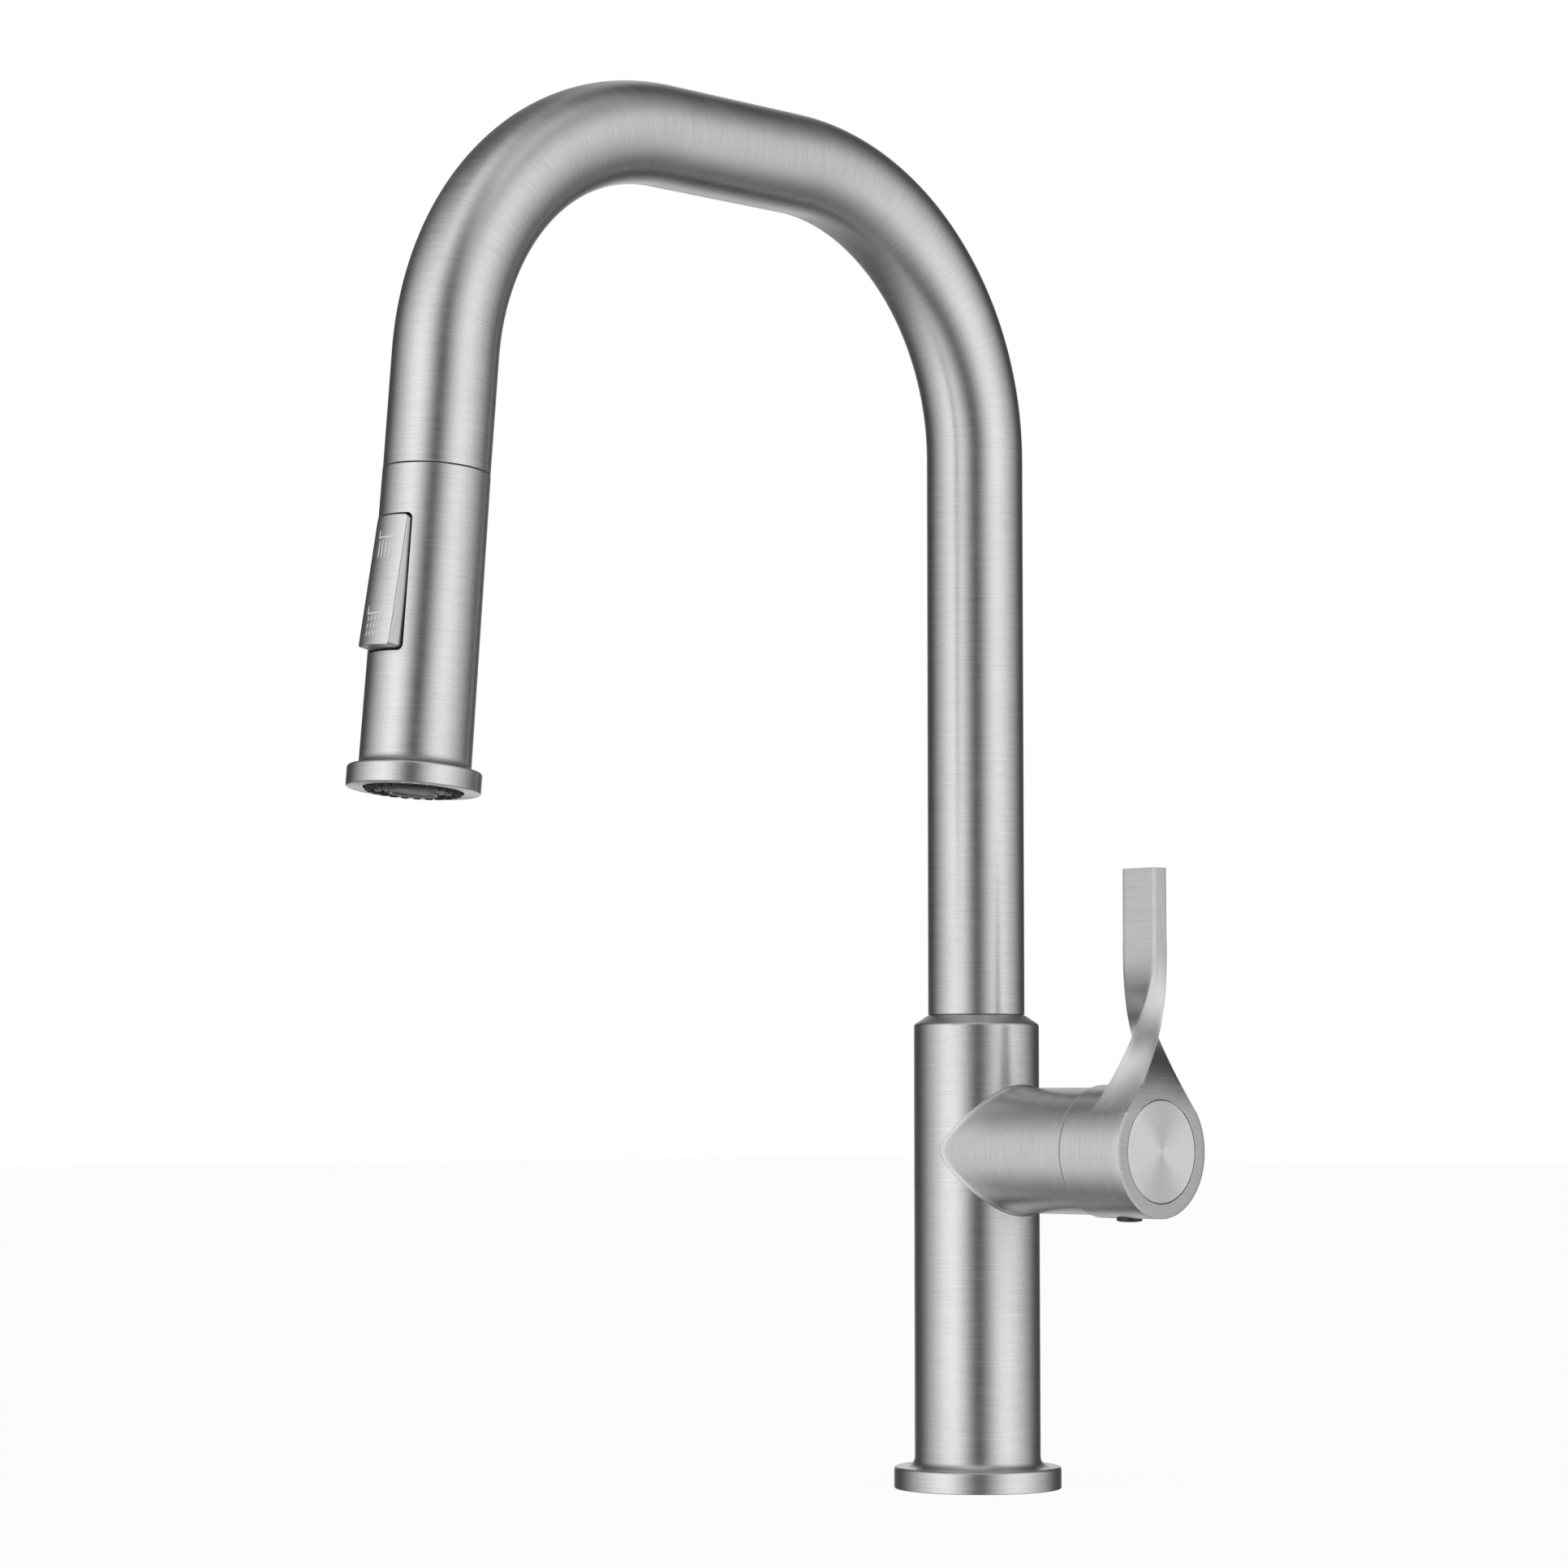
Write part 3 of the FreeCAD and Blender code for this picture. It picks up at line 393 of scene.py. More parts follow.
def average(tree, first, second):
    return calculate(tree, "MULTIPLY", calculate(tree, "ADD", first, second), 0.5)


def ramp(tree, source, low, high, low_value, high_value):
    """Maps a value between two limits."""
    limits = {"From Min": low, "From Max": high, "To Min": low_value, "To Max": high_value}
    return add_node(tree, "ShaderNodeMapRange", limits, {"Value": source}).outputs["Result"]


def stretched_noise(tree, coordinates, along, across, detail=3.0, seed=0.0):
    """Noise drawn out along U: its grain is given in millimetres along and across the brushing."""
    stretch = {
        "Scale": (1.0 / (along * MM), 1.0 / (across * MM), 1.0),
        "Location": (seed, seed * 1.7, seed * 0.3),
    }
    scale = add_node(tree, "ShaderNodeMapping", stretch, {"Vector": coordinates})
    grain = {"Scale": 1.0, "Detail": detail, "Roughness": 0.6}
    return add_node(tree, "ShaderNodeTexNoise", grain, {"Vector": scale.outputs["Vector"]}).outputs["Fac"]


def set_colour(tree, shader, factor, dark, light):
    """Base colour that runs from dark to light with a factor."""
    item = tree.nodes.new("ShaderNodeMix")
    item.data_type = "RGBA"
    item.inputs["A"].default_value = (*dark, 1.0)
    item.inputs["B"].default_value = (*light, 1.0)
    tree.links.new(factor, item.inputs["Factor"])
    tree.links.new(item.outputs["Result"], shader.inputs["Base Color"])


def set_bump(tree, shader, height, strength, deep):
    """Surface relief from a height, its depth in millimetres."""
    bump = add_node(tree, "ShaderNodeBump", {"Strength": strength, "Distance": deep * MM}, {"Height": height})
    tree.links.new(bump.outputs["Normal"], shader.inputs["Normal"])


def brush_uv(tree):
    item = tree.nodes.new("ShaderNodeUVMap")
    item.uv_map = UV_NAME
    return item.outputs["UV"]


def brushed_steel(name, dark, light, roughness=0.36, grain=0.5, anisotropy=0.72):
    """Satin stainless steel with fine lines along U."""
    material, tree, shader = new_material(name)
    coordinates = brush_uv(tree)
    fine = stretched_noise(tree, coordinates, 5.0, 0.13, 3.0)
    broad = stretched_noise(tree, coordinates, 14.0, 0.4, 3.0, 4.1)
    lines = average(tree, fine, broad)
    smudge = stretched_noise(tree, coordinates, 22.0, 22.0, 2.0, 9.3)
    set_colour(tree, shader, ramp(tree, lines, 0.34, 0.66, 0.0, 1.0), dark, light)
    rough_low = ramp(tree, lines, 0.3, 0.7, roughness - ROUGH_SPREAD, roughness + ROUGH_SPREAD)
    rough_wide = ramp(tree, smudge, 0.3, 0.7, 0.94, 1.06)
    tree.links.new(calculate(tree, "MULTIPLY", rough_low, rough_wide), shader.inputs["Roughness"])
    set_bump(tree, shader, lines, grain, 0.004)
    tangent = tree.nodes.new("ShaderNodeTangent")
    tangent.direction_type = "UV_MAP"
    tangent.uv_map = UV_NAME
    tree.links.new(tangent.outputs["Tangent"], shader.inputs["Tangent"])
    set_values(shader, Metallic=1.0, Anisotropic=anisotropy, Anisotropic_Rotation=0.25)
    return material


def moulded(name, dark, light, roughness, grain=0.25, bump=0.01, metallic=0.0):
    """Moulded or machined material with a fine even grain, in millimetres, in object space."""
    material, tree, shader = new_material(name)
    place = {"Vector": tree.nodes.new("ShaderNodeTexCoord").outputs["Object"]}
    small = {"Scale": 1.0 / (grain * MM), "Detail": 4.0}
    large = {"Scale": 1.0 / (9.0 * MM)}
    fine = add_node(tree, "ShaderNodeTexNoise", small, place).outputs["Fac"]
    broad = add_node(tree, "ShaderNodeTexNoise", large, place).outputs["Fac"]
    shade = ramp(tree, average(tree, fine, broad), 0.35, 0.65, 0.0, 1.0)
    set_colour(tree, shader, shade, dark, light)
    rough = ramp(tree, broad, 0.3, 0.7, roughness - ROUGH_SPREAD, roughness + ROUGH_SPREAD)
    tree.links.new(rough, shader.inputs["Roughness"])
    set_bump(tree, shader, fine, 0.4, bump)
    set_values(shader, Metallic=metallic)
    return material


def braided(name):
    """Nylon braid over a rubber hose: U runs round the hose and V along it."""
    material, tree, shader = new_material(name)
    uv = brush_uv(tree)
    waves = []
    for side in (-1.0, 1.0):
        angle = (0.0, 0.0, side * radians(BRAID_ANGLE))
        turn = add_node(tree, "ShaderNodeMapping", {"Rotation": angle}, {"Vector": uv})
        strand = {"Scale": 0.16 / MM, "Distortion": 0.0}
        wave = add_node(tree, "ShaderNodeTexWave", strand, {"Vector": turn.outputs["Vector"]})
        waves.append(wave.outputs["Fac"])
    height = calculate(tree, "MAXIMUM", *waves)
    shade = ramp(tree, height, 0.25, 0.95, 0.0, 1.0)
    set_colour(tree, shader, shade, (0.02, 0.02, 0.022), (0.2, 0.2, 0.21))
    tree.links.new(ramp(tree, height, 0.0, 1.0, 0.75, 0.42), shader.inputs["Roughness"])
    set_bump(tree, shader, height, 0.9, 0.25)
    return material


STEEL = brushed_steel("steel_brushed", (0.52, 0.515, 0.505), (0.70, 0.692, 0.68))
# The cap's steel: its ring lines are the real spun finish, and its base colour, lighter than the other steel, is a
# painted highlight
CAP_STEEL_PAINTED_BRIGHT = brushed_steel("steel_spun_painted_highlight", (0.74, 0.735, 0.725), (0.86, 0.852, 0.84), 0.4, 0.4, 0.9)
RUBBER = moulded("rubber_black", (0.012, 0.012, 0.013), (0.03, 0.03, 0.032), 0.55, 0.15, 0.012)
FACE_PLASTIC = moulded("plastic_graphite", (0.035, 0.036, 0.042), (0.07, 0.072, 0.08), 0.4, 0.2, 0.008)
RIM_PLASTIC = moulded("plastic_light", (0.16, 0.162, 0.17), (0.24, 0.242, 0.25), 0.35, 0.2, 0.006)
BLACK_PLASTIC = moulded("plastic_black", (0.008, 0.008, 0.009), (0.02, 0.02, 0.021), 0.32, 0.2, 0.006)
WHITE_PLASTIC = moulded("plastic_white", (0.72, 0.72, 0.7), (0.82, 0.82, 0.8), 0.38, 0.3, 0.006)
BRASS = moulded("brass_machined", (0.62, 0.42, 0.17), (0.78, 0.57, 0.27), 0.3, 0.2, 0.004, 1.0)
PLAIN_STEEL = moulded("steel_plain", (0.42, 0.42, 0.42), (0.56, 0.56, 0.55), 0.3, 0.15, 0.004, 1.0)
CERAMIC = moulded("ceramic_lapped", (0.8, 0.78, 0.73), (0.88, 0.86, 0.82), 0.16, 0.4, 0.002)
MAGNET = moulded("magnet_sintered", (0.05, 0.05, 0.055), (0.12, 0.12, 0.125), 0.45, 0.12, 0.02, 0.8)
ICON = moulded("icon_etched", (0.86, 0.86, 0.85), (0.95, 0.95, 0.94), 0.6, 0.1, 0.004)
BRAID = braided("hose_braid")

SLOT_MATERIALS = {
    "brushed_stainless": PLAIN_STEEL,
    "brass": BRASS,
    "black_rubber": RUBBER,
    "grey_plastic": FACE_PLASTIC,
    "black_plastic": BLACK_PLASTIC,
    "white_plastic": WHITE_PLASTIC,
    "ceramic": CERAMIC,
    "magnet": MAGNET,
    "steel_mesh": PLAIN_STEEL,
    "hose_braid": BRAID,
}


def dress_cad_nodes():
    """Every CAD node gets the procedural material of its slot."""
    slots = {entry["node"]: entry["material_slot"] for entry in frame["record"]["subparts"]}
    for name, item in frame["nodes"].items():
        item.data.materials.clear()
        item.data.materials.append(SLOT_MATERIALS[slots[name]])


# ---- the fixed base

def make_column():
    """Foot, column and shoulder, turned in one piece with its bore and gasket groove."""
    fillet_start = FOOT_HIGH + FOOT_FILLET
    build = turned([
        (COLUMN_BORE_RAD, 0, 0.3),
        (GASKET_IN, 0, 0.1),
        (GASKET_IN, GASKET_DEEP, 0.05),
        (GASKET_OUT, GASKET_DEEP, 0.05),
        (GASKET_OUT, 0, 0.1),
        (FOOT_RAD, 0, 0.35),
        (FOOT_RAD, FOOT_HIGH, 0.9),
        (COLUMN_RAD, FOOT_HIGH, FOOT_FILLET),
        (COLUMN_RAD, fillet_start + 30, 0),
        (COLUMN_RAD, fillet_start + 90, 0),
        (COLUMN_RAD, COLUMN_TOP, 1.3),
        (SHOULDER_RAD + 0.15, SHOULDER_TOP, 0.25),
        (BUSH_RAD, SHOULDER_TOP, 0.1),
        (BUSH_RAD, SHOULDER_TOP - 20, 0),
        (COLUMN_BORE_RAD, SHOULDER_TOP - 22, 0),
    ], around=192)
    build.make("body_column", STEEL, UPRIGHT, "base", "brushed_stainless", ["valve_body"])


def make_arm():
    """The side arm, flared where it meets the column and chamfered at its open end."""
    build = Builder()
    around = 160
    chamfer = 0.3
    flare_steps = 10
    rows = []
    uv_rows = []

    def ring(places, travel):
        rows.append(places)
        uv_rows.append(around_uvs(ARM_RAD, around, travel))

    def spot(k, radius, along):
        angle = 2 * pi * k / around
        return Vector((radius * cos(angle), radius * sin(angle), along))

    def saddle(k, radius):
        across = min(abs(spot(k, radius, 0).y), COLUMN_RAD)
        return sqrt(COLUMN_RAD ** 2 - across ** 2)

    ring([spot(k, ARM_RAD, max(saddle(k, ARM_RAD) - 1.5, 0.5)) for k in range(around)], -2.0)
    for step in range(flare_steps + 1):
        way = step / flare_steps
        bulge = ARM_FLARE * (1 - sqrt(max(0.0, 1 - (1 - way) ** 2)))
        places = []
        for k in range(around):
            upness = 0.3 + 0.7 * cos(2 * pi * k / around) ** 2
            radius = ARM_RAD + bulge * upness
            places.append(spot(k, radius, saddle(k, ARM_RAD) + ARM_FLARE_LONG * way - 0.05))
        ring(places, ARM_FLARE_LONG * way)
    start = COLUMN_RAD + ARM_FLARE_LONG + 1
    for along in (start, start + 12, start + 24, ARM_END - chamfer - 0.15, ARM_END - chamfer):
        ring([spot(k, ARM_RAD, along) for k in range(around)], along)
    for step in range(1, 5):
        angle = pi / 2 * step / 4
        radius = ARM_RAD - chamfer * (1 - cos(angle))
        along = ARM_END - chamfer + chamfer * sin(angle)
        ring([spot(k, radius, along) for k in range(around)], ARM_END + step * 0.2)
    inside = [(RING_SEAT_RAD, ARM_END), (RING_SEAT_RAD, ARM_SEAT)]
    inside += [(ARM_BORE_RAD, ARM_SEAT), (ARM_BORE_RAD, ARM_BORE_START)]
    for radius, along in inside:
        ring([spot(k, radius, along) for k in range(around)], ARM_END + 1 + (ARM_END - along))
    build.sheet(rows, uv_rows, wrap=True)
    build.make("side_arm_shell", STEEL, ARM, "base", "brushed_stainless", ["side_arm"])
    # A black ring down in the seam between arm and hub: painted shade, for the dark line of the groove
    seam_shade_ring = turned([
        (SEAM_SHADE_IN, ARM_END + 0.03, 0),
        (SEAM_SHADE_OUT, ARM_END + 0.03, 0.05),
        (SEAM_SHADE_OUT, HUB_START - 0.03, 0.05),
        (SEAM_SHADE_IN, HUB_START - 0.03, 0),
    ])
    seam_shade_ring.make("seam_painted_shade_ring", RUBBER, ARM, "base", "black_rubber")


# ---- the handle

def strap_corners(high):
    """The four corners of the strap's level section: front outer, front inner, back outer, back inner."""
    left = (STRAP_HIGH - high) / (STRAP_HIGH - STRAP_LOW)
    way = min(max((high - TWIST_LOW) / (TWIST_HIGH - TWIST_LOW), 0.0), 1.0)
    twist = pi / 2 * way * way * (3 - 2 * way)
    thick = STRAP_TOP_THICK + (STRAP_LOW_THICK - STRAP_TOP_THICK) * left ** THICK_POWER
    wide = STRAP_TOP_WIDE + (STRAP_LOW_WIDE - STRAP_TOP_WIDE) * left ** WIDE_POWER
    low_along = HUB_END - STRAP_LOW_THICK / 2
    middle = STRAP_TOP_ALONG + (low_along - STRAP_TOP_ALONG) * left ** ALONG_POWER
    out = Vector((cos(twist), sin(twist), 0))
    back = Vector((-sin(twist), cos(twist), 0))
    centre = Vector((middle, 0, AXIS_HIGH + high))
    signs = ((1, -1), (-1, -1), (1, 1), (-1, 1))
    return [centre + out * (thick / 2 * a) + back * (wide / 2 * b) for a, b in signs]


def between(first, second, steps):
    return [first.lerp(second, i / steps) for i in range(steps + 1)]


def hub_point(angle, along, radius=HUB_RAD):
    """A point on the hub; angle 0 is towards the front and 90 degrees is up."""
    return Vector((along, -radius * cos(angle), AXIS_HIGH + radius * sin(angle)))


def make_handle():
    """Hub and twisted strap as one skin, so that the band runs on from the hub into the strap."""
    build = Builder()
    tangent = asin(STRAP_LOW / HUB_RAD)
    inner_along = HUB_END - STRAP_LOW_THICK
    strap_steps = 72
    hub_steps = 90
    cols = 5
    heights = [STRAP_LOW + (STRAP_HIGH - STRAP_LOW) * i / strap_steps for i in range(strap_steps + 1)]
    edges = [strap_corners(high) for high in heights]

    def band(hub_side, outer_index, inner_index):
        """The strip that is hub wall below and the strap's narrow face above."""
        rows = []
        uv_rows = []
        travel = 0.0
        last = None
        for i in range(hub_steps + 1):
            angle = -pi / 2 + (tangent + pi / 2) * i / hub_steps
            first = hub_point(angle, inner_along)
            second = hub_point(angle, HUB_END)
            if hub_side > 0:
                first.y, second.y = -first.y, -second.y
            rows.append(between(first, second, cols))
        for corner in edges[1:]:
            rows.append(between(corner[inner_index], corner[outer_index], cols))
        for row in rows:
            if last is not None:
                travel += (row[cols] - last).length
            last = row[cols]
            thick = (row[cols] - row[0]).length
            uv_rows.append([(travel, thick * i / cols) for i in range(cols + 1)])
        build.sheet(rows, uv_rows, flip=hub_side > 0)

    band(-1, 0, 1)
    band(1, 2, 3)

    # the hub's inner part, a full drum from the seam to just under the strap
    lift = pi - 2 * tangent
    reach = tangent + pi / 2
    turns = [-pi / 2 + reach * i / hub_steps for i in range(hub_steps)]
    turns += [tangent + lift * i / LIFT_STEPS for i in range(LIFT_STEPS)]
    turns += [pi - tangent + reach * i / hub_steps for i in range(hub_steps)]
    soft = 1.0
    drum = [(HUB_MOUTH_RAD, HUB_START + 2), (HUB_MOUTH_RAD, HUB_START), (HUB_RAD - soft, HUB_START)]
    for i in range(1, 6):
        a = pi / 2 * i / 5
        drum.append((HUB_RAD - soft * (1 - sin(a)), HUB_START + soft * (1 - cos(a))))
    drum += [(HUB_RAD, HUB_START + soft + 0.2), (HUB_RAD, inner_along)]
    rows = [[hub_point(turn, along, radius) for turn in turns] for radius, along in drum]
    uv_rows = [[(HUB_RAD * turn, along) for turn in turns + [1.5 * pi]] for _, along in drum]
    build.sheet(rows, uv_rows, wrap=True)
    # the drum's wall goes on a little way under the strap
    angles = [tangent + lift * k / LIFT_STEPS for k in range(LIFT_STEPS + 1)]
    depths = (inner_along, inner_along + 7)
    rows = [[hub_point(a, along) for a in angles] for along in depths]
    build.sheet(rows, [[(HUB_RAD * a, along) for a in angles] for along in depths])

    # the end face: a ring round the cap's recess, out to the hub's rim and the strap's edges
    hole = CAP_RAD + CAP_GAP
    top_high = 20.0

    def on_end_face(p):
        high = p.z - AXIS_HIGH
        if high <= STRAP_LOW:
            return Vector((HUB_END, p.y, p.z))
        front, _, back, _ = strap_corners(high)
        share = min(max((p.y - front.y) / (back.y - front.y), 0.0), 1.0)
        return Vector((front.x + (back.x - front.x) * share, p.y, p.z))

    rim = []
    for i in range(hub_steps + 1):
        rim.append(hub_point(tangent - (tangent + pi / 2) * i / hub_steps, HUB_END))
    back_rim = [Vector((p.x, -p.y, p.z)) for p in rim[::-1]][1:]
    climb = [STRAP_LOW + (top_high - STRAP_LOW) * i / 24 for i in range(25)]
    front_edge = [strap_corners(high)[0] for high in climb]
    back_edge = [strap_corners(high)[2] for high in climb]
    crown = between(back_edge[-1], front_edge[-1], 20)
    boundary = rim + back_rim + back_edge[1:] + crown[1:] + front_edge[::-1][1:-1]
    rows = []
    for way in (0.0, 0.03, 0.25, 0.5, 0.75, 1.0):
        row = []
        for p in boundary:
            near = Vector((0, p.y, p.z - AXIS_HIGH)).normalized() * hole
            inner = Vector((HUB_END, near.y, AXIS_HIGH + near.z))
            row.append(on_end_face(inner.lerp(p, way)))
        rows.append(row)
    recess = [Vector((CAP_START - 0.5, p.y, p.z)) for p in rows[0]]
    lip = [Vector((p.x - 0.12, p.y, p.z)) for p in rows[0]]
    rows = [recess, lip] + rows
    uv_rows = [[(p.y, p.z + p.x) for p in row + row[:1]] for row in rows]
    build.sheet(rows, uv_rows, wrap=True, flip=True)

    # the strap's outer face above the ring, its inner face and its top
    def face(first_index, second_index, start, flip):
        rows = []
        uv_rows = []
        for high in [start] + [h for h in heights if h > start + 0.01]:
            corner = strap_corners(high)
            row = between(corner[first_index], corner[second_index], FACE_COLS)
            wide = (corner[first_index] - corner[second_index]).length
            rows.append(row)
            uv_rows.append([(wide * i / FACE_COLS, high) for i in range(FACE_COLS + 1)])
        build.sheet(rows, uv_rows, flip=flip)

    face(0, 2, top_high, False)
    face(1, 3, STRAP_LOW, True)
    top = strap_corners(STRAP_HIGH)
    ends = zip(between(top[1], top[0], cols), between(top[3], top[2], cols))
    rows = [between(front, back, FACE_COLS) for front, back in ends]
    build.sheet(rows, [[(p.x, p.y) for p in row] for row in rows])

    piece = build.make("handle_shell", STEEL, UPRIGHT, "handle", "brushed_stainless", ["handle_lever"])
    soften(piece, 0.32, 3, 38.0)


def soften(piece, width, segments, angle):
    """Rounds the sharp edges of a piece."""
    bevel = piece.modifiers.new("bevel", "BEVEL")
    bevel.width = width * MM
    bevel.segments = segments
    bevel.limit_method = "ANGLE"
    bevel.angle_limit = radians(angle)
    bevel.harden_normals = False
    bevel.miter_outer = "MITER_ARC"
    for modifier in [m.name for m in piece.modifiers]:
        with bpy.context.temp_override(object=piece, active_object=piece, selected_objects=[piece]):
            bpy.ops.object.modifier_apply(modifier=modifier)
    piece.data.polygons.foreach_set("use_smooth", [True] * len(piece.data.polygons))


def make_cap():
    """The round end cap, spun so that its lines are rings."""
    build = open_turned([
        (CAP_RAD - 1, CAP_START, 0),
        (CAP_RAD, CAP_START, 0.1),
        (CAP_RAD, HUB_END, 0.3),
        *((CAP_RAD * share, HUB_END, 0) for share in (0.8, 0.6, 0.4, 0.2, 0.05)),
    ])
    # The cap's lighter steel is a painted highlight over its spun lines
    build.make("handle_end_cap", CAP_STEEL_PAINTED_BRIGHT, ARM, "handle", "brushed_stainless", ["handle_cap"])


def make_plug():
    """The black plug over the set screw, under the hub."""
    below = ARM @ Matrix.Translation((0, 0, PLUG_ALONG)) @ Matrix.Rotation(pi / 2, 4, "Y")
    build = open_turned([
        (PLUG_RAD - 1, PLUG_START, 0),
        (PLUG_RAD, PLUG_START, 0),
        (PLUG_RAD, HUB_RAD + 0.75, 0.35),
        (PLUG_RAD * 0.55, HUB_RAD + PLUG_PROUD, 0.6),
        (PLUG_RAD * 0.2, HUB_RAD + PLUG_PROUD, 0),
    ], around=64)
    build.make("screw_cover", BLACK_PLASTIC, below, "handle", "black_plastic", ["set_screw_plug"])


# ---- the spout

def spout_stations(low, leg, step=2.0):
    """Centre points, directions and side directions along riser, bend, span, bend and leg."""
    stations = []
    up = Vector((0, 0, 1))
    ahead = Vector((0, -1, 0))
    drop = radians(DROP_ANGLE)

    def straight(start, way, long):
        count = max(2, int(long / step))
        for i in range(count):
            stations.append((start + way * (long * i / count), way))

    def bend(centre, arm_from, arm_to, angle):
        count = 48
        for i in range(count):
            a = angle * i / count
            arm = arm_from * cos(a) + arm_to * sin(a)
            way = arm_to * cos(a) - arm_from * sin(a)
            stations.append((centre + arm * BEND_RAD, way))

    straight(Vector((0, 0, low)), up, RISER_TOP - low)
    bend(Vector((0, -BEND_RAD, RISER_TOP)), -ahead, up, pi / 2)
    straight(Vector((0, -BEND_RAD, RISER_TOP + BEND_RAD)), ahead, SPAN_LONG)
    bend(Vector((0, -BEND_RAD - SPAN_LONG, RISER_TOP)), up, ahead, drop)
    end_arm = up * cos(drop) + ahead * sin(drop)
    end = Vector((0, -BEND_RAD - SPAN_LONG, RISER_TOP)) + end_arm * BEND_RAD
    way = ahead * cos(drop) - up * sin(drop)
    straight(end, way, leg)
    stations.append((end + way * leg, way))
    return stations


def spout_ring(station, radius, around):
    centre, way = station
    side = Vector((1, 0, 0))
    other = way.cross(side)
    spin = full_turn(around, pi)
    return [centre + side * (radius * cos(a)) + other * (radius * sin(a)) for a in spin]


def make_spout_tube():
    """The tube with its bore, and a small rounded edge at each end."""
    build = Builder()
    around = 128
    edge = 0.18
    edge_steps = 4
    stations = spout_stations(TUBE_LOW, LEG_LONG, 4.0)
    rows = []
    uv_rows = []
    (low, low_way), (end, end_way) = stations[0], stations[-1]

    def ring(station, radius, travel):
        rows.append(spout_ring(station, radius, around))
        uv_rows.append(around_uvs(TUBE_RAD, around, travel))

    ring((low, low_way), TUBE_BORE_RAD, 0)
    ring((low, low_way), TUBE_RAD - edge, 0.5)
    for i in range(1, edge_steps + 1):
        a = pi / 2 * i / edge_steps
        place = low + low_way * edge * (1 - cos(a))
        ring((place, low_way), TUBE_RAD - edge + edge * sin(a), 0.5 + 0.1 * i)
    ring((low + low_way * (edge + 0.15), low_way), TUBE_RAD, 1.1)
    previous = low
    travel = 1.1
    for station in stations[1:-1]:
        travel += (station[0] - previous).length
        previous = station[0]
        ring(station, TUBE_RAD, travel)
    ring((end - end_way * (edge + 0.15), end_way), TUBE_RAD, travel + 2)
    for i in range(edge_steps + 1):
        a = pi / 2 * i / edge_steps
        place = end - end_way * edge * (1 - sin(a))
        ring((place, end_way), TUBE_RAD - edge + edge * cos(a), travel + 2.2 + 0.1 * i)
    for station in stations[::-2] + stations[:1]:
        ring(station, TUBE_BORE_RAD, travel)
    build.sheet(rows, uv_rows, wrap=True)
    build.make("spout_tube_shell", STEEL, UPRIGHT, "spout", "brushed_stainless", ["spout_tube"])


def hose_tube(stations, travel, drawn, name, body):
    """A closed length of braided hose; drawn gives the braid's own length at each station."""
    build = Builder()
    around = 40
    rows = []
    uv_rows = []
    previous = stations[0][0]
    for number, station in enumerate(stations):
        travel += (station[0] - previous).length
        previous = station[0]
        rows.append(spout_ring(station, HOSE_RAD, around))
        uv_rows.append(around_uvs(HOSE_RAD, around, travel + drawn(number)))
    rows = build.sheet(rows, uv_rows, wrap=True)
    for rim in (rows[0][::-1], rows[-1]):
        build.face(rim, [(0.3 * cos(k), 0.3 * sin(k)) for k in range(around)])
    return build.make(name, BRAID, UPRIGHT, body, "hose_braid", ["pull_hose"]), travel


def make_pull_hose():
    """The braided hose: a length riding the spout, and the length in the spout's leg, which rides no body; its
    braid is drawn on by up to the full pull towards the leg's end.
    """
    leg = LEG_LONG + SEAM_GAP - HOSE_STOP
    blend_from = 1.0
    pull = JOINTS["hose_pull"]["range_m"][1] / MM
    still = spout_stations(HOSE_LOW, blend_from, 3.0)
    _, travel = hose_tube(still, 0.0, lambda number: 0.0, "pull_hose_rear", "spout")
    start, way = still[-1]
    count = 60
    drawn_part = [(start + way * ((leg - blend_from) * i / count), way) for i in range(count + 1)]

    def drawn(number):
        share = number / count
        return pull * share * share * (3 - 2 * share)

    piece, _ = hose_tube(drawn_part, travel, drawn, "pull_hose_front", None)
    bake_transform(piece)


# ---- the spray head

def head_radius(along):
    return HEAD_TOP_RAD + (HEAD_LOW_RAD - HEAD_TOP_RAD) * along / HEAD_LONG


def on_head(across, along, sink=0.0):
    """A point on the head from its distance round the surface from the front and down the axis."""
    radius = head_radius(along)
    angle = across / HEAD_TOP_RAD
    return Vector(((radius - sink) * sin(angle), (radius - sink) * cos(angle), along))


def below_window(across, along, deep):
    """A point of the window's wall, which runs straight inward and not towards the axis."""
    place = on_head(across, along)
    return place - Vector((0, deep, 0))


def window_edge(across, along, half_wide, half_long, corner):
    """The point of the rounded window nearest to a point outside it."""
    core_x = min(max(across, -half_wide + corner), half_wide - corner)
    core_y = min(max(along, -half_long + corner), half_long - corner)
    away = Vector((across - core_x, along - core_y)).normalized() * corner
    return core_x + away.x, core_y + away.y


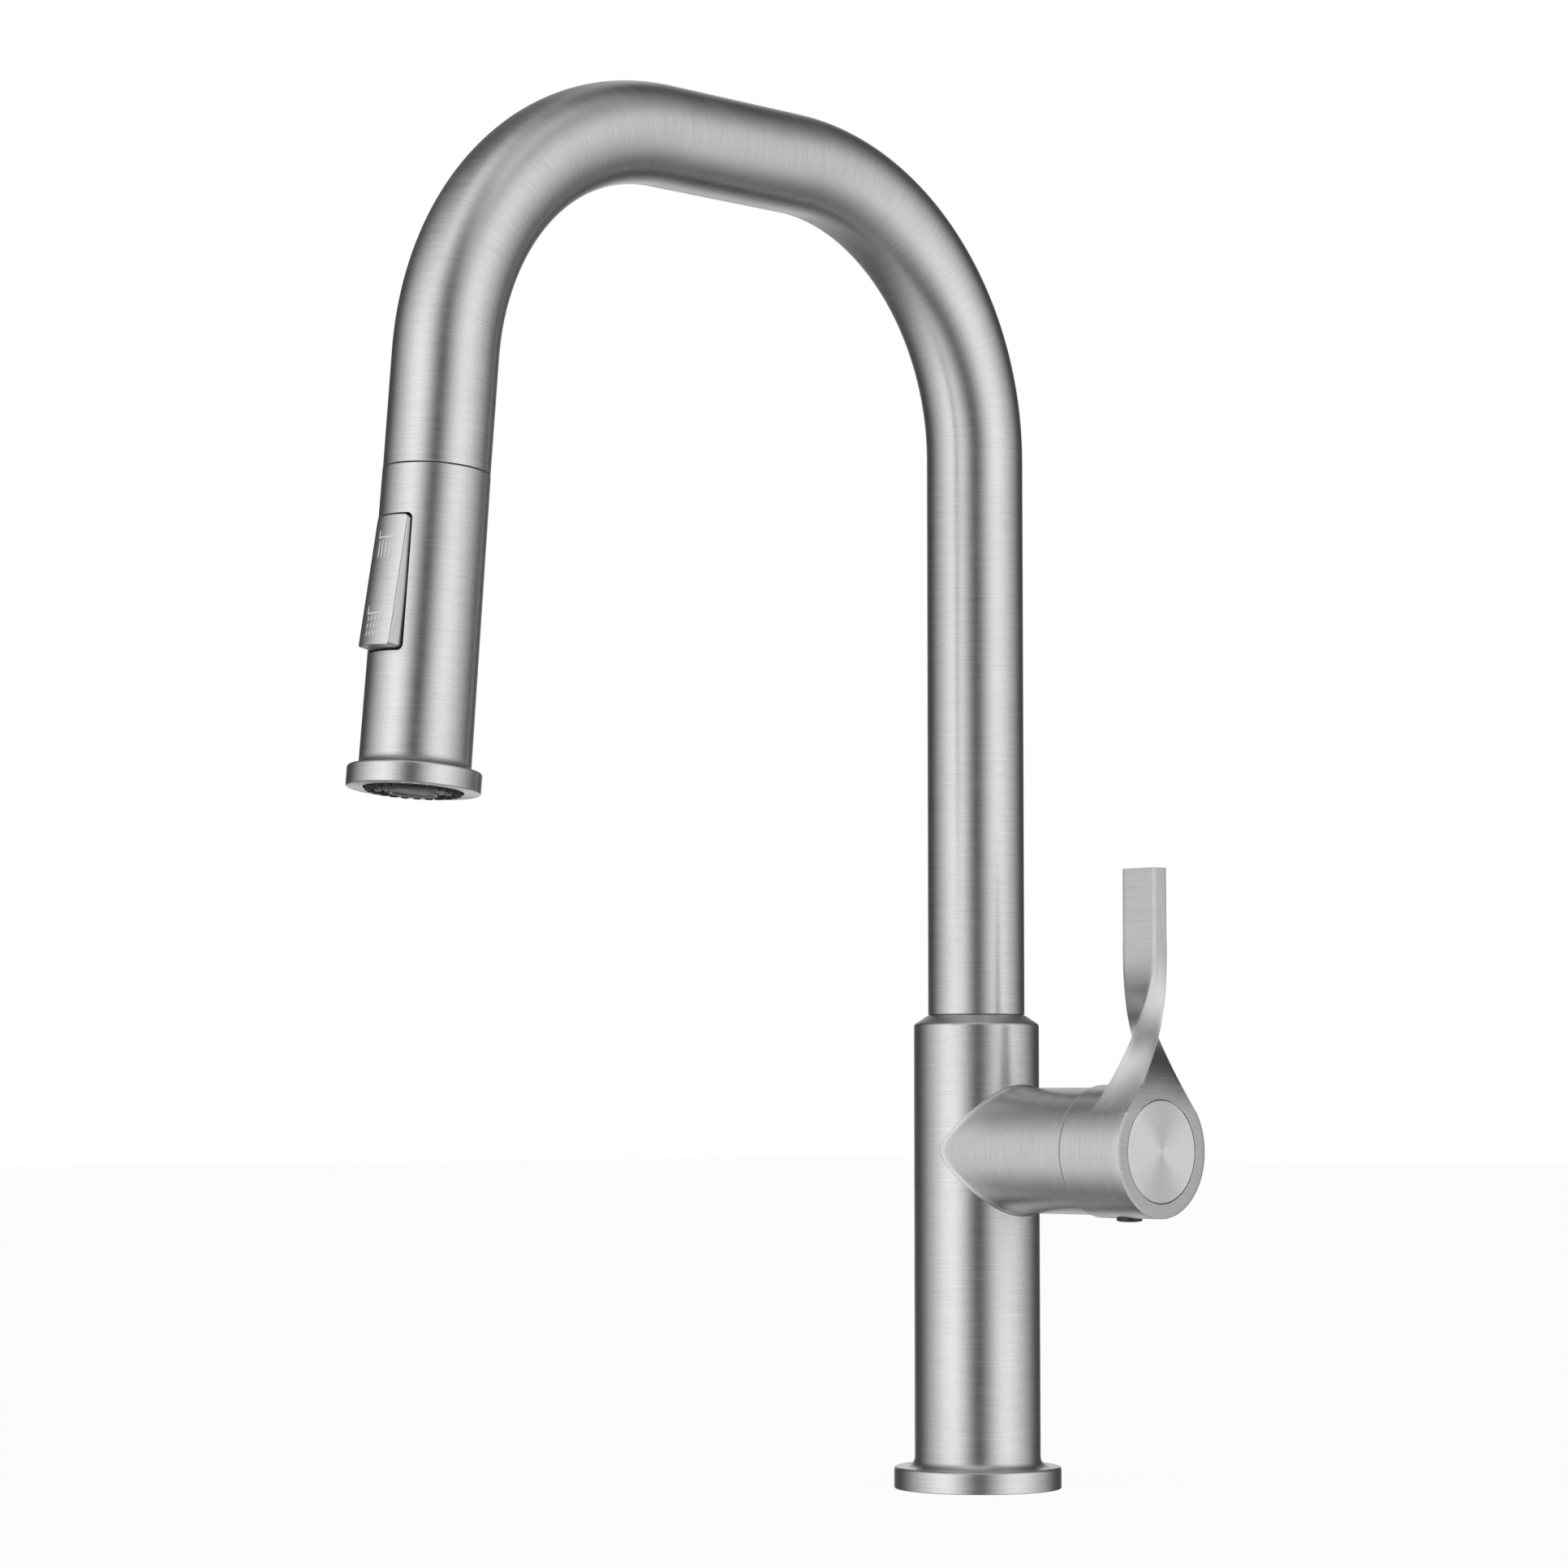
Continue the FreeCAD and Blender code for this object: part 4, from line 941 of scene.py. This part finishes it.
def make_head_shell():
    """The tapered shell as a grid round its axis, with a rounded window for the button."""
    build = Builder()
    middle = WINDOW_TOP + WINDOW_LONG / 2
    half_wide = HEAD_TOP_RAD * asin(WINDOW_WIDE / 2 / HEAD_TOP_RAD)
    half_long = WINDOW_LONG / 2
    around = 144
    step = 2 * pi * HEAD_TOP_RAD / around
    patch_cols = 2 * int((half_wide + 2.2) / step + 1)
    patch_half = patch_cols / 2 * step
    margin = 2.6
    rim_round = 0.15
    top, low = rim_round, HEAD_LONG
    patch_top = WINDOW_TOP - margin
    patch_low = WINDOW_TOP + WINDOW_LONG + margin
    patch_rows = 44
    levels = [top, top + 0.2] + [top + (patch_top - top) * i / 5 for i in range(1, 5)]
    levels += [patch_top + (patch_low - patch_top) * i / patch_rows for i in range(patch_rows + 1)]
    levels += [patch_low + (low - patch_low) * i / 8 for i in range(1, 9)]
    spans = [-pi * HEAD_TOP_RAD + step * k for k in range(around)]
    number = {}
    for r, along in enumerate(levels):
        for k, across in enumerate(spans):
            inside = patch_top + 0.01 < along < patch_low - 0.01 and abs(across) < patch_half - 0.01
            if not inside:
                number[r, k] = build.point(on_head(across, along))

    for r in range(len(levels) - 1):
        for k in range(around):
            n = (k + 1) % around
            corners = [(r, k), (r, n), (r + 1, n), (r + 1, k)]
            if not all(c in number for c in corners):
                continue
            a0, a1 = spans[k], spans[k] + step
            z0, z1 = levels[r], levels[r + 1]
            in_patch = patch_top - 0.01 < z0 and z1 < patch_low + 0.01 and abs((a0 + a1) / 2) < patch_half
            if in_patch:
                continue
            quad = [number[c] for c in corners]
            build.face(quad[::-1], [(a0, z1), (a1, z1), (a1, z0), (a0, z0)])

    # ring of quads from the patch's outer edge to the window's edge, then over the lip and inward
    rows_in = [r for r, along in enumerate(levels) if patch_top - 0.01 < along < patch_low + 0.01]
    cols_in = [k for k, across in enumerate(spans) if abs(across) < patch_half + 0.01]
    outline = [(rows_in[0], k) for k in cols_in]
    outline += [(r, cols_in[-1]) for r in rows_in[1:]]
    outline += [(rows_in[-1], k) for k in cols_in[::-1][1:]]
    outline += [(r, cols_in[0]) for r in rows_in[::-1][1:-1]]
    outer = [(spans[k], levels[r] - middle) for r, k in outline]
    edge = [window_edge(x, y, half_wide, half_long, WINDOW_ROUND) for x, y in outer]
    rings = [[number[c] for c in outline]]
    ring_uvs = [[(x, y + middle) for x, y in outer]]
    for way in (0.3, 0.55, 0.75, 0.84):
        flat = [(o[0] + (e[0] - o[0]) * way, o[1] + (e[1] - o[1]) * way) for o, e in zip(outer, edge)]
        rings.append([build.point(on_head(x, y + middle)) for x, y in flat])
        ring_uvs.append([(x, y + middle) for x, y in flat])
    lip = 0.2
    for angle in (0.0, 0.4, 0.8, 1.2, pi / 2):
        flat = []
        for o, e in zip(outer, edge):
            away = Vector((o[0] - e[0], o[1] - e[1])).normalized() * lip * (1 - sin(angle))
            flat.append((e[0] + away.x, e[1] + away.y))
        deep = lip * (1 - cos(angle))
        rings.append([build.point(below_window(x, y + middle, deep)) for x, y in flat])
        ring_uvs.append([(x, y + middle) for x, y in flat])
    ring_uvs = [row + [row[0]] for row in ring_uvs]
    build.grid(rings, ring_uvs, wrap=True)

    # rims and the inside
    for level, inward in ((0, -1), (len(levels) - 1, 1)):
        along = levels[level]
        rim = [number[level, k] for k in range(around)]
        shift = rim_round if inward < 0 else 0.0
        soft = [build.point(on_head(a, along - shift, rim_round)) for a in spans]
        inner = [build.point(on_head(a, along - shift, HEAD_WALL)) for a in spans]
        deep = [build.point(on_head(a, along + 10 * -inward, HEAD_WALL)) for a in spans]
        rows = [rim, soft, inner, deep]
        uv_rows = [[(a, along + i) for a in spans + [-spans[0]]] for i in range(4)]
        if inward < 0:
            rows = rows[::-1]
        build.grid([row[::-1] for row in rows], uv_rows, wrap=True)
    build.make("head_shell_skin", STEEL, HEAD, "spray_head", "brushed_stainless", ["head_shell"])
    # A black liner down the window's wall round the button: painted shade, standing in for the shadow in the gap
    shade_liner = Builder()
    wall = []
    for deep in (lip, 1.5, 3.0, 4.6):
        wall.append([shade_liner.point(below_window(x, y + middle, deep)) for x, y in edge])
    shade_liner_uvs = [[(k * 0.6, deep) for k in range(len(edge) + 1)] for deep in range(4)]
    shade_liner.grid(wall, shade_liner_uvs, wrap=True)
    shade_liner.make("button_well_painted_shade", BLACK_PLASTIC, HEAD, "spray_head", "black_plastic")


def make_outlet_ring():
    low = HEAD_LONG + RING_HIGH
    build = turned([
        (FACE_RAD + 0.15, HEAD_LONG + 0.1, 0),
        (RING_RAD, HEAD_LONG + 0.1, 0.8),
        (RING_RAD, low, 0.35),
        (FACE_RAD + 0.15, low, 0.35),
    ], around=160)
    build.make("outlet_collar", STEEL, HEAD, "spray_head", "brushed_stainless", ["outlet_ring"])


def make_spray_face():
    """Dark face plate with its nozzles and teeth, and a central aerator with a woven screen."""
    low = HEAD_LONG + RING_HIGH
    plate = turned([
        (AERATOR_RAD + 0.05, low - 4.2, 0),
        (FACE_RAD, low - 4.2, 0),
        (FACE_RAD, low - 1.0, 0.2),
        (11.3, low - 1.0, 0.1),
        (11.0, low - FACE_INSET, 0.2),
        (AERATOR_RAD + 0.6, low + 0.55, 0.3),
        (AERATOR_RAD + 0.05, low + 0.55, 0.1),
    ], around=128)
    plate.make("spray_plate", FACE_PLASTIC, HEAD, "spray_head", "grey_plastic", ["spray_face"])
    teeth = Builder()
    for number in range(NOZZLE_COUNT):
        angle = 2 * pi * number / NOZZLE_COUNT
        add_tooth(teeth, angle, low)
        add_nozzle(teeth, angle + pi / NOZZLE_COUNT, NOZZLE_RING_RAD, low + 0.35, 0.6)
    teeth.make("nozzle_teeth", RUBBER, HEAD, "spray_head", "black_rubber", ["nozzle_pad"])
    bosses = Builder()
    for turn in (-45.0, 135.0):
        add_nozzle(bosses, radians(turn), BOSS_RING_RAD, low + 0.75, 1.2)
    bosses.make("face_bosses", RIM_PLASTIC, HEAD, "spray_head", "grey_plastic")
    rim = low + AERATOR_PROUD
    aerator = turned([
        (MESH_RAD - 0.1, low - 4, 0),
        (AERATOR_RAD, low - 4, 0),
        (AERATOR_RAD, low - 0.2, 0.2),
        (AERATOR_RAD - 0.5, rim, 0.4),
        (MESH_RAD - 0.1, rim, 0.25),
        (MESH_RAD - 0.1, rim - 0.9, 0.1),
    ], around=96)
    aerator.make("aerator_rim", RIM_PLASTIC, HEAD, "spray_head", "grey_plastic", ["aerator_housing"])
    make_screen(rim - 0.75)


def add_box(build, matrix, wide, deep, high, inset=0.0):
    """A block on local z = 0, its far end drawn in by an inset."""
    corners = []
    square = ((0, 0), (1, 0), (1, 1), (0, 1))
    for level, shrink in ((0.0, 0.0), (high - inset, 0.0), (high, inset)):
        for x, y in ((-1, -1), (1, -1), (1, 1), (-1, 1)):
            place = matrix @ Vector((x * (wide / 2 - shrink), y * (deep / 2 - shrink), level))
            corners.append(build.point(place))
    for level in (0, 4):
        for i in range(4):
            n = (i + 1) % 4
            quad = (corners[level + i], corners[level + n], corners[level + 4 + n], corners[level + 4 + i])
            build.face(quad, square)
    build.face(corners[8:], square)
    build.face(corners[3::-1], square)


def add_tooth(build, angle, low):
    """One rubber block of the toothed rim round the face."""
    place = Matrix.Rotation(angle, 4, "Z") @ Matrix.Translation((TOOTH_RING_RAD, 0, low - TOOTH_SUNK))
    add_box(build, place, TOOTH_WIDE, TOOTH_DEEP, TOOTH_SUNK + NOZZLE_PROUD, 0.3)


def add_nozzle(build, angle, radius, tip, wide):
    """One small tapered nozzle with an open tip."""
    around = 18
    centre = Vector((radius * cos(angle), radius * sin(angle), 0))
    profile = ((1.1, -1.4), (1.05, -0.9), (0.82, -0.1), (0.72, 0.0), (0.42, 0.0), (0.36, -0.12), (0.34, -0.6))
    spin = full_turn(around)
    rows = []
    for share, along in profile:
        reach = share * wide
        rows.append([centre + Vector((reach * cos(a), reach * sin(a), tip + along)) for a in spin])
    uv_rows = [[(k * 0.2, i * 0.3) for k in range(around + 1)] for i in range(len(rows))]
    rows = build.sheet(rows, uv_rows, wrap=True)
    for rim in (rows[-1], rows[0][::-1]):
        build.face(rim, [(0.1 * k, 0.1 * (k % 2)) for k in range(around)])


def make_screen(level):
    """Woven wires across the aerator over a dark backing."""
    build = Builder()
    pitch = 0.95
    wire = 0.34
    count = int(MESH_RAD / pitch)
    for line in range(-count, count + 1):
        offset = line * pitch
        half = sqrt(MESH_RAD ** 2 - offset ** 2)
        for layer, turn in enumerate((0.4, 0.4 + pi / 3, 0.4 + 2 * pi / 3)):
            place = Matrix.Rotation(turn, 4, "Z")
            place = place @ Matrix.Translation((0, offset, level - wire + layer * 0.05))
            add_box(build, place, half * 2, wire, wire, 0.08)
    build.make("aerator_screen", PLAIN_STEEL, HEAD, "spray_head", "steel_mesh", ["aerator_mesh"])
    backing = open_turned([
        (MESH_RAD - 1, level - 1.9, 0),
        (MESH_RAD - 0.05, level - 1.9, 0),
        (MESH_RAD - 0.05, level - 0.9, 0.1),
        (MESH_RAD * 0.5, level - 0.9, 0),
        (MESH_RAD * 0.1, level - 0.9, 0),
    ], 48)
    backing.make("aerator_backing", BLACK_PLASTIC, HEAD, "spray_head", "grey_plastic")


# ---- the button

def crown_high(across):
    """The button's convex face above its pivot."""
    crown = HEAD_TOP_RAD + 0.3
    return sqrt(crown ** 2 - across ** 2) + BUTTON_PROUD - PIVOT_HIGH


def button_outline(inset):
    """A rounded rectangle across and along the button, as evenly numbered points."""
    half_wide = BUTTON_WIDE / 2 - inset
    half_long = BUTTON_LONG / 2 - inset
    corner = max(BUTTON_ROUND - inset, 0.15)
    points = []
    corners = ((1, -1, -90), (1, 1, 0), (-1, 1, 90), (-1, -1, 180))
    for sx, sz, start in corners:
        for i in range(9):
            a = radians(start + 90 * i / 8)
            x = sx * (half_wide - corner) + corner * cos(a)
            points.append((x, sz * (half_long - corner) + corner * sin(a)))
    dense = []
    for i, here in enumerate(points):
        ahead = points[(i + 1) % len(points)]
        step_x, step_z = ahead[0] - here[0], ahead[1] - here[1]
        gap = hypot(step_x, step_z)
        parts = 14 if gap > 20 else (10 if gap > 5 else 1)
        dense += [(here[0] + step_x * p / parts, here[1] + step_z * p / parts) for p in range(parts)]
    return dense


def make_button():
    """A hollow cover: its side walls and crown are two sheets that meet in a small rounded edge."""
    build = Builder()
    low = BUTTON_LOW - PIVOT_HIGH
    edge = 0.24
    base = button_outline(0)
    travel = [0.0]
    for i, here in enumerate(base):
        ahead = base[(i + 1) % len(base)]
        travel.append(travel[-1] + hypot(ahead[0] - here[0], ahead[1] - here[1]))

    def numbered(outline, highs):
        return [build.point((x, y, z)) for (x, z), y in zip(outline, highs)]

    walls = []
    for drop in (None, 3.0, 2.0, 1.0, edge + 0.12):
        highs = [low if drop is None else crown_high(x) - drop for x, _ in base]
        walls.append((numbered(base, highs), highs))
    for i in range(3):
        a = pi / 4 * i / 2
        outline = button_outline(edge * (1 - cos(a)))
        highs = [crown_high(x) - edge * (1 - sin(a)) for x, _ in outline]
        walls.append((numbered(outline, highs), highs))
    wall_uvs = [[(t, y) for t, y in zip(travel, highs + highs[:1])] for _, highs in walls]
    build.grid([row for row, _ in walls], wall_uvs, wrap=True)

    tops = [walls[-1][0]]
    outlines = [button_outline(edge * (1 - cos(pi / 4)))]
    for i in range(3, 5):
        a = pi / 4 * i / 2
        outlines.append(button_outline(edge * (1 - cos(a))))
        highs = [crown_high(x) - edge * (1 - sin(a)) for x, _ in outlines[-1]]
        tops.append(numbered(outlines[-1], highs))
    for shrink in (0.4, 0.8, 1.6):
        outlines.append(button_outline(shrink))
        tops.append(numbered(outlines[-1], [crown_high(x) for x, _ in outlines[-1]]))
    last = outlines[-1]
    for way in (0.75, 0.5, 0.25, 0.0):
        outlines.append([(x * way, z * (1 - (1 - way) * 0.45)) for x, z in last])
        tops.append(numbered(outlines[-1], [crown_high(x) for x, _ in outlines[-1]]))
    build.grid(tops, [[(x, z) for x, z in outline + outline[:1]] for outline in outlines], wrap=True)
    inner = button_outline(BUTTON_WALL)
    hollow = [numbered(inner, [level] * len(inner)) for level in (BUTTON_ROOF - PIVOT_HIGH, low)]
    hollow.append(walls[0][0])
    build.grid(hollow, [[(t, level) for t in travel] for level in (0.0, 4.6, 5.9)], wrap=True)
    build.face(hollow[0], [(x, z) for x, z in inner])
    build.make("rocker_cover", STEEL, TILTED, "rocker", "brushed_stainless", ["rocker_button"])
    make_icons()


def make_icons():
    """A stream mark and a spray mark: a bracket over four lines, and a bracket over short dashes."""
    build = Builder()
    stroke = 0.42

    def bar(x0, x1, z0, z1):
        steps = max(1, int((x1 - x0) / 0.6))
        line = [x0 + (x1 - x0) * i / steps for i in range(steps + 1)]
        rows = []
        for z in (z0, z1):
            for lift in (-0.1, 0.03):
                rows.append([build.point((x, crown_high(x) + lift, z)) for x in line])
        order = [rows[0], rows[1], rows[3], rows[2], rows[0]]
        build.grid(order, [[(i, j) for i in range(steps + 1)] for j in range(5)])
        for end in (0, steps):
            ring = [row[end] for row in order[:4]]
            build.face(ring if end else ring[::-1], [(0, 0)] * 4)

    def bracket(top):
        bar(-3.1, 3.1, top + 1.9, top + 1.9 + stroke)
        bar(-3.1, -3.1 + stroke, top, top + 1.9)
        bar(3.1 - stroke, 3.1, top, top + 1.9)

    columns = (-2.2, -0.73, 0.73, 2.2)
    top = -BUTTON_LONG / 2
    bracket(top + 4.3)
    for x in columns:
        bar(x - stroke / 2, x + stroke / 2, top + 7.2, top + 12.4)
    bracket(top + 26.0)
    for x in columns:
        for row in range(3):
            start = top + 28.9 + row * 2.1
            bar(x - stroke / 2, x + stroke / 2, start, start + 1.35)
    build.make("button_icons", ICON, TILTED, "rocker", "brushed_stainless")


# ---- stage

def make_floor():
    size = FLOOR_SIZE
    mesh = bpy.data.meshes.new("floor")
    corners = [(-size, -size, 0), (size, -size, 0), (size, size, 0), (-size, size, 0)]
    mesh.from_pydata(corners, [], [(0, 1, 2, 3)])
    floor = bpy.data.objects.new("floor", mesh)
    floor.location.z = -FLOOR_DROP
    bpy.context.scene.collection.objects.link(floor)
    material, tree, shader = new_material("floor_white")
    set_values(shader, Base_Color=(0.94, 0.94, 0.94, 1), Roughness=0.9, Specular_IOR_Level=0.0)
    clear = tree.nodes.new("ShaderNodeBsdfTransparent")
    sources = {1: shader.outputs["BSDF"], 2: clear.outputs["BSDF"]}
    thin = add_node(tree, "ShaderNodeMixShader", {"Fac": FLOOR_CLEAR}, sources)
    tree.links.new(thin.outputs["Shader"], tree.nodes["Material Output"].inputs["Surface"])
    mesh.materials.append(material)


def make_world():
    """A studio of tall soft boxes: bright to both sides of the lens, dark behind it and at the far sides."""
    world = bpy.data.worlds.new("studio")
    bpy.context.scene.world = world
    world.use_nodes = True
    tree = world.node_tree
    tree.nodes.clear()
    place = tree.nodes.new("ShaderNodeTexCoord").outputs["Generated"]
    spin = {"Rotation": (0, 0, radians(90 - STUDIO_AZIMUTH))}
    turn = add_node(tree, "ShaderNodeMapping", spin, {"Vector": place})
    split = add_node(tree, "ShaderNodeSeparateXYZ", None, {"Vector": turn.outputs["Vector"]})
    angle = calculate(tree, "ARCTAN2", split.outputs["Y"], split.outputs["X"])
    unit = ramp(tree, angle, -pi, pi, 0.0, 1.0)
    bands = add_node(tree, "ShaderNodeValToRGB", None, {"Fac": unit})
    bands.color_ramp.interpolation = "B_SPLINE"
    stops = bands.color_ramp.elements
    stops.remove(stops[1])
    for number, (degrees, bright) in enumerate(STUDIO_BANDS):
        position = (degrees + 180) / 360
        stop = stops.new(position) if number else stops[0]
        stop.position = position
        stop.color = (bright, bright, bright, 1)
    height = calculate(tree, "ABSOLUTE", split.outputs["Z"])
    low, high, left = STUDIO_FADE
    fade = ramp(tree, height, low, high, STUDIO_POWER, STUDIO_POWER * left)
    glow = add_node(tree, "ShaderNodeBackground", None, {"Strength": fade, "Color": bands.outputs["Color"]})
    white = add_node(tree, "ShaderNodeBackground", {"Color": (1, 1, 1, 1), "Strength": 1.0})
    path = tree.nodes.new("ShaderNodeLightPath")
    sources = {1: glow.outputs["Background"], 2: white.outputs["Background"]}
    sources["Fac"] = path.outputs["Is Camera Ray"]
    mix = add_node(tree, "ShaderNodeMixShader", None, sources)
    add_node(tree, "ShaderNodeOutputWorld", None, {"Surface": mix.outputs["Shader"]})


def make_camera():
    data = bpy.data.cameras.new("camera")
    data.lens = CAMERA_LENS
    data.sensor_width = 36.0
    data.clip_start = 0.05
    data.clip_end = 50.0
    camera = bpy.data.objects.new("camera", data)
    bpy.context.scene.collection.objects.link(camera)
    azimuth = radians(CAMERA_AZIMUTH)
    pitch = radians(CAMERA_PITCH)
    level = cos(pitch)
    ahead = Vector((-sin(azimuth) * level, cos(azimuth) * level, sin(pitch)))
    camera.location = CAMERA_PLACE
    camera.rotation_mode = "QUATERNION"
    camera.rotation_quaternion = ahead.to_track_quat("-Z", "Y")
    bpy.context.scene.camera = camera


def make_lights():
    """One large soft key overhead and in front, for the tops and the floor."""
    data = bpy.data.lights.new("key", "AREA")
    data.shape = "RECTANGLE"
    data.size = 1.6
    data.size_y = 1.2
    data.energy = 4.0
    key = bpy.data.objects.new("key", data)
    key.location = (0.5, -0.7, 2.0)
    key.rotation_mode = "QUATERNION"
    key.rotation_quaternion = (Vector((0, -0.1, 0.2)) - key.location).to_track_quat("-Z", "Y")
    bpy.context.scene.collection.objects.link(key)


dress_cad_nodes()
make_column()
make_arm()
make_handle()
make_cap()
make_plug()
make_spout_tube()
make_pull_hose()
make_head_shell()
make_outlet_ring()
make_spray_face()
make_button()
make_floor()
make_world()
make_lights()
make_camera()
bpy.context.scene.view_settings.view_transform = "Standard"
